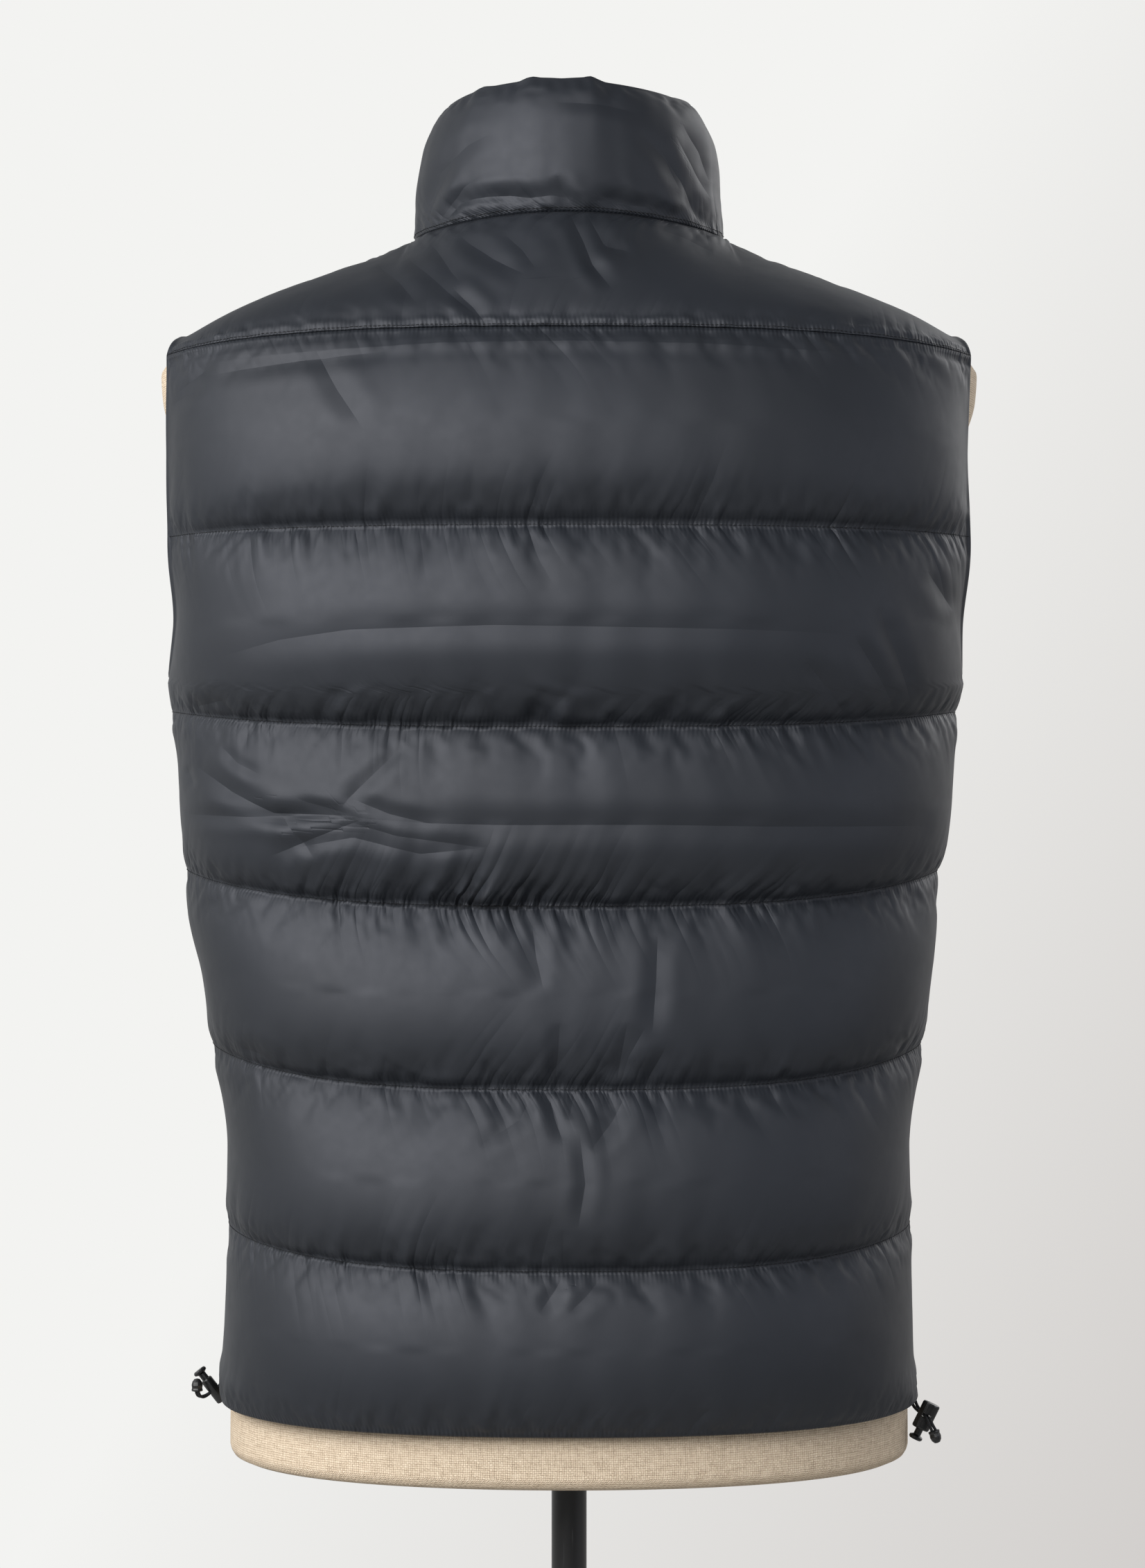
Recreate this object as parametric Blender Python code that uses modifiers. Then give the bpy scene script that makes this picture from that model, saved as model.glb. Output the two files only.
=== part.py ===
"""A sleeveless down vest with a stand collar, on a linen dress form with a steel pole and base.

Metres, +Z up. The round base rests on the floor at the origin. The vest's front faces -Y and its
left side is at +X. Each cloth piece is a wall with a plain inside, and its quilting stands out of
the wall's outer points.
"""
import math

import bmesh
import bpy
import numpy as np
from mathutils import Matrix, Vector

MM = 0.001


def table(columns, *rows):
    """Name the columns of a short table: {column: array of its values}."""
    return dict(zip(columns.split(), np.array(rows, float).T))


# ------------------------------------------------------------------ driving sizes (metres)
ROWS = 6                     # rows of points in each baffle
BACK_COLUMNS = 54            # columns of points across the back, side seam to side seam
SHOULDER_COLUMNS = 12        # columns of a front that end on the shoulder seam
NECK_COLUMNS = 8             # columns of a front that end on the neckline
SEAM_GAP = 0.0004            # air between two pieces that are sewn together
ARMHOLE_LEVEL = 4 + 1 / 6    # quilt level where the side seam ends and the armhole begins
ARMHOLE_SPREAD = math.radians(20)   # how far each armhole edge runs from the side line
ARMHOLE_EDGE = 0.005         # thickness of the bound armhole edge
FRONT_EDGE = 0.0045          # thickness of a front beside the zip
PILLOW_EDGE = 0.024          # width over which a baffle rounds down to a side edge
ZIP_HALF = 0.0115            # centre front to the edge of a front
FULLNESS = 0.10              # how much squarer than an ellipse the sections are

# quilt lines, from the hem up: height at the centre back, rise at the sides, thickness on the line
LINES = table(
    "height side_rise seam",
    (0.8340, 0.000, 0.0050),
    (0.9230, 0.013, 0.0032),
    (1.0220, 0.019, 0.0032),
    (1.1240, 0.018, 0.0032),
    (1.2240, 0.010, 0.0032),
    (1.3340, -0.001, 0.0032),
    (1.4425, -0.007, 0.0032),
    (1.5080, 0.000, 0.0035),
)
CROWN = np.array([0.019, 0.022, 0.025, 0.026, 0.025, 0.022, 0.0075])   # thickness at each crown
SIDE_EASE = 0.82             # share of that fullness lost at the sides of the body
LEVELS = np.arange(len(LINES["height"]))
YOKE = 6                     # level of the yoke seam
NECK = 7                     # level of the shoulder seams and the neckline
YOKE_ROW = YOKE * ROWS
PANEL_LEVELS = np.arange(NECK * ROWS + 1) / ROWS
BACK_SHOULDER_SHARE = 2 / 3  # share of each half of the back that ends on the shoulder seam

# inner sections of the vest: half-widths to its left and right, depths to its back and front
VEST = table(
    "height left right back front",
    (0.834, 0.2015, 0.2000, 0.1390, 0.1240),
    (0.870, 0.1988, 0.1973, 0.1410, 0.1225),
    (0.920, 0.1968, 0.1970, 0.1400, 0.1205),
    (0.980, 0.1958, 0.1950, 0.1350, 0.1190),
    (1.040, 0.2055, 0.2030, 0.1280, 0.1200),
    (1.080, 0.2105, 0.2050, 0.1250, 0.1215),
    (1.120, 0.2195, 0.2090, 0.1250, 0.1230),
    (1.160, 0.2220, 0.2155, 0.1280, 0.1250),
    (1.200, 0.2245, 0.2190, 0.1330, 0.1285),
    (1.240, 0.2300, 0.2240, 0.1395, 0.1335),
    (1.280, 0.2305, 0.2290, 0.1440, 0.1345),
    (1.330, 0.2380, 0.2380, 0.1460, 0.1320),
    (1.380, 0.2385, 0.2360, 0.1440, 0.1260),
    (1.4425, 0.2370, 0.2370, 0.1320, 0.1090),
)
HEM_NOTCH = 0.012            # how far the hem's left side is drawn up above its cord lock
HEM_NOTCH_ANGLE = math.radians(9)

SHOULDER_TIP = 0.222         # half-width at the outer end of the shoulder seam
SHOULDER_SLOPE = 0.40        # drop of the shoulder seam for each metre outwards
LOFT_LEAN = 0.18             # how far the surface above the yoke seam keeps rising before it turns over
NECKLINE = {"half_width": 0.088, "back": 0.083, "front": 0.094,
            "side_height": 1.504, "back_height": 1.508, "front_height": 1.468}
NECK_TILT = math.radians(42)  # the collar seam's face leans this far above the level

# collar sections from its seam to its top edge: inner half-width, depths, and share of the height
COLLAR = table(
    "share half_width back front thickness",
    (0.00, 0.0880, 0.0830, 0.0940, 0.0035),
    (0.12, 0.0820, 0.0800, 0.0915, 0.0095),
    (0.28, 0.0775, 0.0775, 0.0890, 0.0130),
    (0.46, 0.0760, 0.0760, 0.0875, 0.0135),
    (0.64, 0.0755, 0.0750, 0.0865, 0.0125),
    (0.80, 0.0725, 0.0735, 0.0855, 0.0105),
    (0.93, 0.0700, 0.0715, 0.0845, 0.0070),
    (1.00, 0.0690, 0.0705, 0.0840, 0.0035),
)
COLLAR_TOP = {"back": 1.5905, "side": 1.5870, "front": 1.5650}

# dress form: half-width and depths of its sections
FORM = table(
    "height half_width back front",
    (0.8000, 0.1925, 0.1285, 0.1145),
    (0.8018, 0.1965, 0.1325, 0.1185),
    (0.8065, 0.1985, 0.1345, 0.1205),
    (0.8300, 0.1983, 0.1350, 0.1200),
    (0.8700, 0.1930, 0.1365, 0.1175),
    (0.9200, 0.1895, 0.1350, 0.1145),
    (0.9800, 0.1800, 0.1250, 0.1120),
    (1.0600, 0.1650, 0.1070, 0.1120),
    (1.1600, 0.1690, 0.1120, 0.1180),
    (1.2600, 0.1840, 0.1300, 0.1280),
    (1.3200, 0.1970, 0.1370, 0.1270),
    (1.3700, 0.2190, 0.1370, 0.1200),
    (1.3950, 0.2320, 0.1340, 0.1130),
    (1.4150, 0.2380, 0.1300, 0.1060),
    (1.4300, 0.2390, 0.1250, 0.1000),
    (1.4400, 0.2320, 0.1210, 0.0970),
    (1.4470, 0.2180, 0.1170, 0.0950),
    (1.4560, 0.1860, 0.1090, 0.0880),
    (1.4720, 0.1400, 0.0970, 0.0790),
    (1.4900, 0.0920, 0.0820, 0.0670),
    (1.5060, 0.0700, 0.0710, 0.0590),
    (1.5300, 0.0620, 0.0650, 0.0560),
    (1.5620, 0.0620, 0.0640, 0.0570),
)
FORM_SEGMENTS = 36
POLE_RADIUS = 0.0103
BASE_RADIUS = 0.185
BASE_THICKNESS = 0.010
BOSS_RADIUS = 0.024
BOSS_TOP = 0.055

# main creases of the back, in millimetres: ends as seen from behind (+x is the wearer's left),
# width of the trough, and its depth, where a negative depth is a ridge
CREASES = table(
    "x1 z1 x2 z2 width depth",
    (204, 1421, 99, 1431, 6, 3.0),
    (141, 1433, 112, 1385, 9, 5.0),
    (224, 1412, 198, 1428, 9, 4.5),
    (196, 1262, 121, 1276, 10, 4.0),
    (121, 1276, -92, 1277, 10, 3.0),
    (-171, 1290, -192, 1237, 8, 5.0),
    (-158, 1272, -183, 1233, 8, 4.0),
    (-128, 1262, -154, 1229, 8, 4.0),
    (-200, 1311, -218, 1290, 8, 4.0),
    (213, 1203, 178, 1189, 8, 6.0),
    (178, 1189, 121, 1175, 9, 8.0),
    (191, 1155, 121, 1172, 9, 6.5),
    (121, 1172, -60, 1171, 9, 5.0),
    (-60, 1171, -205, 1168, 9, 3.5),
    (122, 1180, 88, 1216, 10, 6.0),
    (160, 1182, 205, 1176, 9, -3.5),
    (154, 1158, 90, 1151, 8, 4.5),
    (20, 1112, 14, 1079, 9, 4.5),
    (-49, 1109, -46, 1055, 9, 4.5),
    (-40, 1062, -27, 1026, 8, 4.0),
    (5, 1062, 8, 1026, 8, 3.5),
    (11, 1020, 2, 995, 8, 4.0),
    (-32, 1020, -12, 991, 8, 4.5),
    (-7, 998, -7, 950, 8, 3.5),
    (190, 1043, 150, 1028, 9, 3.5),
    (-182, 1042, -150, 1012, 9, 3.5),
    (3, 922, 16, 900, 8, 3.5),
    (-19, 920, 0, 901, 8, 3.5),
    (-5, 1500, -16, 1472, 7, 3.0),
)

# zip, in metres: width and depth of one tape and of its half of the teeth
TAPE_WIDTH = 0.0111
TAPE_BACK = 0.0012
TAPE_FACE = 0.0026
TEETH_HALF_WIDTH = 0.0030
TEETH_FACE = 0.0044
SLIDER_SHARE = 0.86          # where the slider stands, as a share of the collar's height
SLIDER_SIZE = (0.0095, 0.0034, 0.0120)
PULL_SIZE = (0.0062, 0.0014, 0.0270)
PULL_WINDOW = (0.0036, 0.0050)
PULL_BAR = 0.0014            # height of the pull's top bar, which hangs under the bridge
HINGE_LIFT = 0.0021          # height of the pull's pivot over the slider's face
BRIDGE_WIRE = 0.0008
BRIDGE_HALF = 0.0036         # half the span of the bridge's arch, and its rise
BRIDGE_RISE = 0.0044
BOX_SIZE = (0.0090, 0.0026, 0.0100)
BOX_LIFT = 0.0060            # height of the box's middle over the zip's foot

# cord locks, in metres
BARREL_LENGTH = 0.0165
BARREL_WIDE = 0.0104
BARREL_THIN = 0.0068
BORE_RADIUS = 0.0026
BORE_FOOT = 0.0020           # floor of the plunger's bore above the barrel's middle
BORE_PLAY = 0.0004           # air between the plunger's stem and the bore
CORD_SLOT = (0.0050, 0.0026)
CORD_DIAMETER = 0.0018
PLUNGER_TRAVEL = 0.0030
CORD_END_LENGTH = 0.0075
CORD_END_RADIUS = 0.0033

# each lock: centre of its barrel, the way its plunger points, the way its cords cross it, where
# the mouth of the cord end is and the way its closed tip points; the route of its two cords in
# millimetres, with half the distance between them along x, y and z
LOCKS = {
    "left": {
        "centre": (0.2090, -0.0060, 0.8347), "axis": (0.617, 0.0, 0.787), "cross": (0.787, 0.0, -0.617),
        "end": (0.2181, 0.0042, 0.8354), "tip": (0.0, 0.0, 1.0),
        "route": table(
            "x y z sx sy sz",
            (203.9, -3.0, 843.2, 0.00, 6.30, 0.00),
            (204.1, -4.1, 840.9, 0.00, 5.28, 0.00),
            (204.8, -5.2, 838.8, 0.00, 3.17, 0.00),
            (206.2, -5.9, 836.9, 0.00, 1.43, 0.00),
            (208.2, -6.0, 835.3, 0.00, 1.18, 0.00),
            (210.2, -6.0, 833.8, 0.00, 1.18, 0.00),
            (212.2, -5.9, 832.3, -0.03, 1.18, 0.00),
            (214.0, -4.6, 831.3, -0.27, 1.10, 0.00),
            (215.5, -2.5, 831.1, -0.61, 0.98, 0.00),
            (216.6, -0.3, 831.6, -0.77, 0.90, 0.00),
            (217.4, 1.8, 832.6, -0.77, 0.90, 0.00),
            (217.9, 3.5, 834.3, -0.77, 0.90, 0.00),
            (218.1, 4.2, 836.7, -0.77, 0.90, 0.00),
            (218.1, 4.2, 839.2, -0.77, 0.90, 0.00),
        ),
    },
    "right": {
        "centre": (-0.2076, 0.0220, 0.8238), "axis": (0.437, 0.0, -0.899), "cross": (0.0, 1.0, 0.0),
        "end": (-0.2110, 0.0335, 0.8172), "tip": (-0.30, 0.08, -0.95),
        "route": table(
            "x y z sx sy sz",
            (-201.4, 5.0, 833.5, 1.15, 0.0, 0.0),
            (-201.6, 5.3, 830.6, 1.15, 0.0, 0.0),
            (-202.8, 8.0, 827.3, 1.15, 0.0, 0.1),
            (-204.9, 12.4, 825.0, 1.1, 0.0, 0.3),
            (-206.8, 17.2, 824.1, 1.05, 0.0, 0.45),
            (-207.6, 22.0, 823.8, 1.03, 0.0, 0.50),
            (-207.9, 26.0, 823.6, 1.03, 0.0, 0.50),
            (-208.6, 29.8, 822.4, 1.10, 0.45, 0.35),
            (-209.8, 32.6, 819.8, 0.98, 0.70, 0.00),
            (-211.0, 33.5, 817.2, 1.05, 0.60, -0.25),
            (-212.0, 33.8, 814.0, 1.05, 0.60, -0.25),
        ),
    },
}

# colour, roughness, metallic
FINISHES = {
    "shell_nylon": ((0.035, 0.038, 0.043), 0.42, 0.0),
    "linen": ((0.56, 0.46, 0.33), 0.90, 0.0),
    "zip_tape": ((0.02, 0.02, 0.022), 0.85, 0.0),
    "zip_metal": ((0.05, 0.05, 0.055), 0.35, 1.0),
    "black_plastic": ((0.012, 0.012, 0.013), 0.45, 0.0),
    "elastic": ((0.02, 0.02, 0.022), 0.80, 0.0),
    "pole_paint": ((0.020, 0.020, 0.021), 0.45, 0.0),
    "cap_wood": ((0.05, 0.03, 0.02), 0.45, 0.0),
}


# ------------------------------------------------------------------ scene and objects
def clear_scene():
    """Remove what the scene holds and give back a collection for the parts and one for cutters."""
    for old in list(bpy.data.objects):
        bpy.data.objects.remove(old, do_unlink=True)
    parts = bpy.data.collections.new("down_vest_on_dress_form")
    cutters = bpy.data.collections.new("cutters")
    bpy.context.scene.collection.children.link(parts)
    bpy.context.scene.collection.children.link(cutters)
    return parts, cutters


PARTS, CUTTERS = clear_scene()


def finish(name, colour, roughness, metallic):
    """A Principled material."""
    material = bpy.data.materials.new(name)
    material.use_nodes = True
    shader = material.node_tree.nodes["Principled BSDF"]
    shader.inputs["Base Color"].default_value = (*colour, 1.0)
    shader.inputs["Roughness"].default_value = roughness
    shader.inputs["Metallic"].default_value = metallic
    return material


MATERIALS = {name: finish(name, *values) for name, values in FINISHES.items()}


def add_object(name, data, material, collection=None):
    """Link an object made from a mesh or a curve."""
    made = bpy.data.objects.new(name, data)
    (collection or PARTS).objects.link(made)
    if material:
        data.materials.append(MATERIALS[material])
    return made


def closed_mesh(name, points, faces, smooth_angle=40):
    """A mesh from points and faces, its faces turned outwards and shaded smooth."""
    mesh = bpy.data.meshes.new(name)
    mesh.from_pydata([tuple(point) for point in points], [], faces)
    shell = bmesh.new()
    shell.from_mesh(mesh)
    bmesh.ops.recalc_face_normals(shell, faces=shell.faces)
    shell.to_mesh(mesh)
    shell.free()
    mesh.shade_smooth()
    mesh.set_sharp_from_angle(angle=math.radians(smooth_angle))
    return mesh


def turned(name, profile, material, steps=24, collection=None):
    """A turned solid: profile points (radius, height) from the top of the axis down to its foot."""
    mesh = bpy.data.meshes.new(name)
    mesh.from_pydata([(radius, 0.0, height) for radius, height in profile],
                     [(i, i + 1) for i in range(len(profile) - 1)], [])
    made = add_object(name, mesh, material, collection)
    screw = made.modifiers.new("turn", "SCREW")
    screw.steps = steps
    screw.render_steps = steps
    screw.use_merge_vertices = True
    screw.merge_threshold = 0.00002
    screw.use_smooth_shade = True
    return made


def block(name, size, material, bevel=0.0, segments=2, collection=None):
    """A box about its own centre, with rounded edges where a bevel is given."""
    mesh = bpy.data.meshes.new(name)
    solid = bmesh.new()
    bmesh.ops.create_cube(solid, size=1.0)
    bmesh.ops.scale(solid, vec=size, verts=solid.verts)
    solid.to_mesh(mesh)
    solid.free()
    made = add_object(name, mesh, material, collection)
    if bevel:
        round_edges(made, bevel, segments)
    return made


def round_edges(made, width, segments):
    """Round an object's sharp edges."""
    bevel = made.modifiers.new("round", "BEVEL")
    bevel.width = width
    bevel.segments = segments
    bevel.limit_method = "ANGLE"
    bevel.angle_limit = math.radians(40)


def combine(made, other, operation):
    """Cut an object with a cutter, or join another solid to it."""
    boolean = made.modifiers.new(operation.lower(), "BOOLEAN")
    boolean.operation = operation
    boolean.object = other
    other.hide_render = True
    other.display_type = "WIRE"


def frame_at(origin, along, beside=(0.0, 1.0, 0.0)):
    """Placement whose +Z runs along a direction and whose +Y lies as near as it can to beside."""
    z = Vector(along).normalized()
    x = Vector(beside).cross(z).normalized()
    y = z.cross(x)
    placement = Matrix((x, y, z)).transposed().to_4x4()
    placement.translation = Vector(origin)
    return placement


# ------------------------------------------------------------------ curves and sections
def monotone(x, knots, values):
    """Smooth curve through the knots that never overshoots them (cubic, harmonic tangents)."""
    steps = np.diff(knots)
    slopes = np.diff(values) / steps
    product = slopes[:-1] * slopes[1:]
    total = slopes[:-1] + slopes[1:]
    inner = np.where(product > 0, 2 * product / np.where(total == 0, 1, total), 0)
    tangents = np.concatenate([slopes[:1], inner, slopes[-1:]])
    k = np.clip(np.searchsorted(knots, x) - 1, 0, len(steps) - 1)
    t = (x - knots[k]) / steps[k]
    rest = 1 - t
    return (values[k] * (1 + 2 * t) * rest**2 + values[k + 1] * t**2 * (3 - 2 * t)
            + steps[k] * t * rest * (tangents[k] * rest - tangents[k + 1] * t))


def section_column(sections, column, height):
    """One column of a table of sections, at any height."""
    return monotone(height, sections["height"], sections[column])


def rounded_section(angle, half_width, depth, fullness=FULLNESS):
    """Ellipse with fuller corners. Angle 0 is the centre back and 90 degrees the left side."""
    sine, cosine = np.sin(angle), np.cos(angle)
    x = half_width * sine * (1 + fullness * cosine**2)
    y = depth * cosine * (1 + fullness * sine**2)
    return x, y


def unit(vectors):
    """Vectors of length 1."""
    return vectors / np.linalg.norm(vectors, axis=-1, keepdims=True)


# ------------------------------------------------------------------ the vest's inner surface
def torso_point(angle, level):
    """Inner surface from the hem to the yoke seam, by angle round the body and quilt level."""
    sine = np.sin(angle)
    height = np.interp(level, LEVELS, LINES["height"])
    height = height + np.interp(level, LEVELS, LINES["side_rise"]) * np.abs(sine) ** 3
    notch = HEM_NOTCH * np.exp(-((angle - math.pi / 2) / HEM_NOTCH_ANGLE) ** 2)
    height = height + notch * np.clip(1 - level, 0, 1) ** 3
    half_width = np.where(sine > 0, section_column(VEST, "left", height),
                          section_column(VEST, "right", height))
    depth = np.where(np.cos(angle) > 0, section_column(VEST, "back", height),
                     section_column(VEST, "front", height))
    x, y = rounded_section(angle, half_width, depth)
    return np.stack([x, y, height], axis=-1)


def armhole_angle(level):
    """Angle from the side line to the edge of a panel: the side seam, then the armhole's edge."""
    above = np.clip((level - ARMHOLE_LEVEL) / 0.9, 0, 1)
    return 0.5 * SEAM_GAP / VEST["left"].mean() + ARMHOLE_SPREAD * np.sqrt(1 - (1 - above) ** 2)


def neckline_point(angle):
    """Inner edge of the collar seam, by angle round the neck from the centre back."""
    sine, cosine = np.sin(angle), np.cos(angle)
    back = cosine > 0
    depth = np.where(back, NECKLINE["back"], NECKLINE["front"])
    end_height = np.where(back, NECKLINE["back_height"], NECKLINE["front_height"])
    side_height = NECKLINE["side_height"]
    height = side_height + (end_height - side_height) * np.abs(cosine) ** 3
    return np.stack([NECKLINE["half_width"] * sine, depth * cosine, height], axis=-1)


def shoulder_point(x):
    """Inner edge of the shoulder seam at a distance from the centre."""
    height = NECKLINE["side_height"] - SHOULDER_SLOPE * (np.abs(x) - NECKLINE["half_width"])
    return np.stack([x, np.zeros_like(x), height], axis=-1)


def top_edge(share, neck_share, centre_angle, side):
    """Top of a panel from the shoulder tip (0) by the neck point (neck_share) to its centre (1)."""
    along_shoulder = np.clip(share / neck_share, 0, 1)
    x = SHOULDER_TIP + along_shoulder * (NECKLINE["half_width"] - SHOULDER_TIP)
    round_neck = np.clip((share - neck_share) / (1 - neck_share), 0, 1)
    angle = math.pi / 2 + round_neck * (centre_angle - math.pi / 2)
    on_neck = (share > neck_share + 1e-9)[..., None]
    point = np.where(on_neck, neckline_point(angle), shoulder_point(x))
    point[..., :1] *= side
    return point


def shoulder_loft(foot, below, top, rise):
    """Rows from the yoke seam over the shoulder: a curve that leaves the body's surface smoothly."""
    reach = np.linalg.norm(top - foot, axis=-1, keepdims=True)
    control = foot + unit(foot - below) * LOFT_LEAN * reach
    v = rise[:, None, None]
    return (1 - v) ** 2 * foot + 2 * v * (1 - v) * control + v**2 * top


def outward(points):
    """Unit normals of a grid of points, away from the body's axis."""
    across = np.gradient(points, axis=1)
    up = np.gradient(points, axis=0)
    normals = unit(np.cross(across, up))
    away = np.sum(normals[..., :2] * points[..., :2]) > 0
    return normals if away else -normals


def neckline_direction(points):
    """Direction of the collar seam's face: outwards from the neck and upwards."""
    flat = points * np.array([1.0, 1.0, 0.0])
    return unit(unit(flat) * math.cos(NECK_TILT) + np.array([0.0, 0.0, math.sin(NECK_TILT)]))


def shoulder_direction(side):
    """Direction of the shoulder seam's face: square to the seam's slope."""
    side = np.asarray(side, float)
    return unit(np.stack([side * SHOULDER_SLOPE, 0 * side, 0 * side + 1], axis=-1))


# ------------------------------------------------------------------ quilting on the outer points
def belly(share):
    """Height of a baffle between two seams, fullest a little below its middle."""
    return np.sin(math.pi * np.clip(share, 0, 1) ** 0.86) ** 0.62


def edge_distance(points):
    """Distance along each row of points from the nearer end of the row."""
    steps = np.linalg.norm(np.diff(points, axis=1), axis=-1)
    from_start = np.concatenate([np.zeros((len(points), 1)), np.cumsum(steps, axis=1)], axis=1)
    return np.minimum(from_start, from_start[:, -1:] - from_start)


def gathers(points, level):
    """Shallow waves along the seams, from -1 to 1, as uneven as sewing makes them."""
    line = np.round(level)
    along = np.arctan2(points[..., 0], points[..., 1]) * 0.2
    return (0.6 * np.sin(2 * math.pi * along / 0.039 + 1.7 * line)
            + 0.4 * np.sin(2 * math.pi * along / 0.061 + 2.9 * line))


def quilt_thickness(points, levels, first_edge, last_edge):
    """Wall thickness on a grid of points whose rows stand at quilt levels."""
    level = levels[:, None]
    share = np.where(level < NECK, level - np.floor(level), 0.0)
    crown = CROWN[np.clip(np.floor(levels).astype(int), 0, len(CROWN) - 1)][:, None]
    seam = np.interp(level, LEVELS, LINES["seam"])
    inset = np.clip(edge_distance(points) / PILLOW_EDGE, 0, 1)
    rounding = np.sqrt(1 - (1 - inset) ** 2)
    crown = crown * (1 + 0.07 * gathers(points, level))
    breadth = np.abs(points[..., 0])
    crown = crown * (1 - SIDE_EASE * (breadth / breadth.max(axis=1, keepdims=True)) ** 6)
    thickness = seam + (crown - seam) * belly(share) * rounding
    thickness[:, 0] = np.maximum(thickness[:, 0], first_edge)
    thickness[:, -1] = np.maximum(thickness[:, -1], last_edge)
    return np.where(level == NECK, LINES["seam"][NECK], thickness)


def press_creases(outer, normals, thickness, mirror):
    """Press the main creases into a panel's outer points, leaving the wall at its seam thickness."""
    x = outer[..., 0] * mirror / MM
    z = outer[..., 2] / MM
    change = np.zeros_like(x)
    for x1, z1, x2, z2, width, depth in zip(*CREASES.values()):
        run = math.hypot(x2 - x1, z2 - z1)
        along = ((x - x1) * (x2 - x1) + (z - z1) * (z2 - z1)) / run**2
        near = np.clip(along, 0, 1)
        distance = np.hypot(x - x1 - near * (x2 - x1), z - z1 - near * (z2 - z1))
        change -= depth * MM * np.exp(-((distance / width) ** 2))
    free = np.clip((thickness - 0.0035) / 0.006, 0, 1)
    change = np.maximum(change * free, 0.003 - thickness)
    return outer + normals * change[..., None]


def wall(name, inside, outer, row_skip, column_skip, material):
    """Close a wall: its outer grid, a coarser plain inside, and a strip of faces along each edge."""
    rows, columns = outer.shape[0] - 1, outer.shape[1] - 1
    plain = inside[::row_skip, ::column_skip]
    plain_rows, plain_columns = plain.shape[0] - 1, plain.shape[1] - 1
    first_plain = outer.shape[0] * outer.shape[1]

    def out(i, j):
        return i * (columns + 1) + j

    def back(i, j):
        return first_plain + i * (plain_columns + 1) + j

    faces = [(out(i, j), out(i, j + 1), out(i + 1, j + 1), out(i + 1, j))
             for i in range(rows) for j in range(columns)]
    faces += [(back(i, j), back(i + 1, j), back(i + 1, j + 1), back(i, j + 1))
              for i in range(plain_rows) for j in range(plain_columns)]
    for j in range(plain_columns):
        fine = range(j * column_skip, (j + 1) * column_skip + 1)
        faces.append(tuple(out(0, k) for k in reversed(fine)) + (back(0, j), back(0, j + 1)))
        faces.append(tuple(out(rows, k) for k in fine) + (back(plain_rows, j + 1), back(plain_rows, j)))
    for i in range(plain_rows):
        fine = range(i * row_skip, (i + 1) * row_skip + 1)
        faces.append(tuple(out(k, 0) for k in fine) + (back(i + 1, 0), back(i, 0)))
        faces.append(tuple(out(k, columns) for k in reversed(fine))
                     + (back(i, plain_columns), back(i + 1, plain_columns)))
    points = np.concatenate([outer.reshape(-1, 3), plain.reshape(-1, 3)])
    return add_object(name, closed_mesh(name, points, faces), material)


# ------------------------------------------------------------------ panels of the vest
def front_grid(side):
    """Inner points of a front: hem to shoulder seam and neckline, side edge to zip edge."""
    columns = SHOULDER_COLUMNS + NECK_COLUMNS
    share = np.arange(columns + 1) / columns

    def across(level):
        level = np.asarray(level)[..., None]
        half_width = np.abs(torso_point(side * math.pi / 2, level)[..., 0])
        zip_angle = math.pi - ZIP_HALF / half_width / (1 + FULLNESS)
        start = math.pi / 2 + armhole_angle(level)
        points = torso_point(side * (start + share * (zip_angle - start)), level)
        points[..., -1, 0] = side * ZIP_HALF
        return points

    centre_angle = math.pi - math.asin(ZIP_HALF / NECKLINE["half_width"])
    top = top_edge(share, SHOULDER_COLUMNS / columns, centre_angle, side)
    top[:SHOULDER_COLUMNS + 1, 1] -= 0.5 * SEAM_GAP
    body = across(PANEL_LEVELS[:YOKE_ROW + 1])
    over = shoulder_loft(body[-1], across(YOKE - 0.1), top, PANEL_LEVELS[YOKE_ROW + 1:] - YOKE)
    over[:, -1, 0] = side * ZIP_HALF
    return np.concatenate([body, over])


def back_grid():
    """Inner points of the back panel and of the yoke, from the right edge to the left edge."""
    u = np.arange(BACK_COLUMNS + 1) / BACK_COLUMNS * 2 - 1

    def across(level):
        level = np.asarray(level)[..., None]
        return torso_point(u * (math.pi / 2 - armhole_angle(level)), level)

    side = np.where(u < 0, -1.0, 1.0)[:, None]
    top = top_edge(1 - np.abs(u), BACK_SHOULDER_SHARE, 0.0, side)
    top[np.abs(u) >= 1 - BACK_SHOULDER_SHARE - 1e-9, 1] += 0.5 * SEAM_GAP
    body = across(PANEL_LEVELS[:YOKE_ROW + 1])
    over = shoulder_loft(body[-1], across(YOKE - 0.1), top, PANEL_LEVELS[YOKE_ROW + 1:] - YOKE)
    yoke = np.concatenate([body[-1:], over])
    body[-1, :, 2] -= 0.5 * SEAM_GAP
    yoke[0, :, 2] += 0.5 * SEAM_GAP
    return body, yoke


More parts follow.
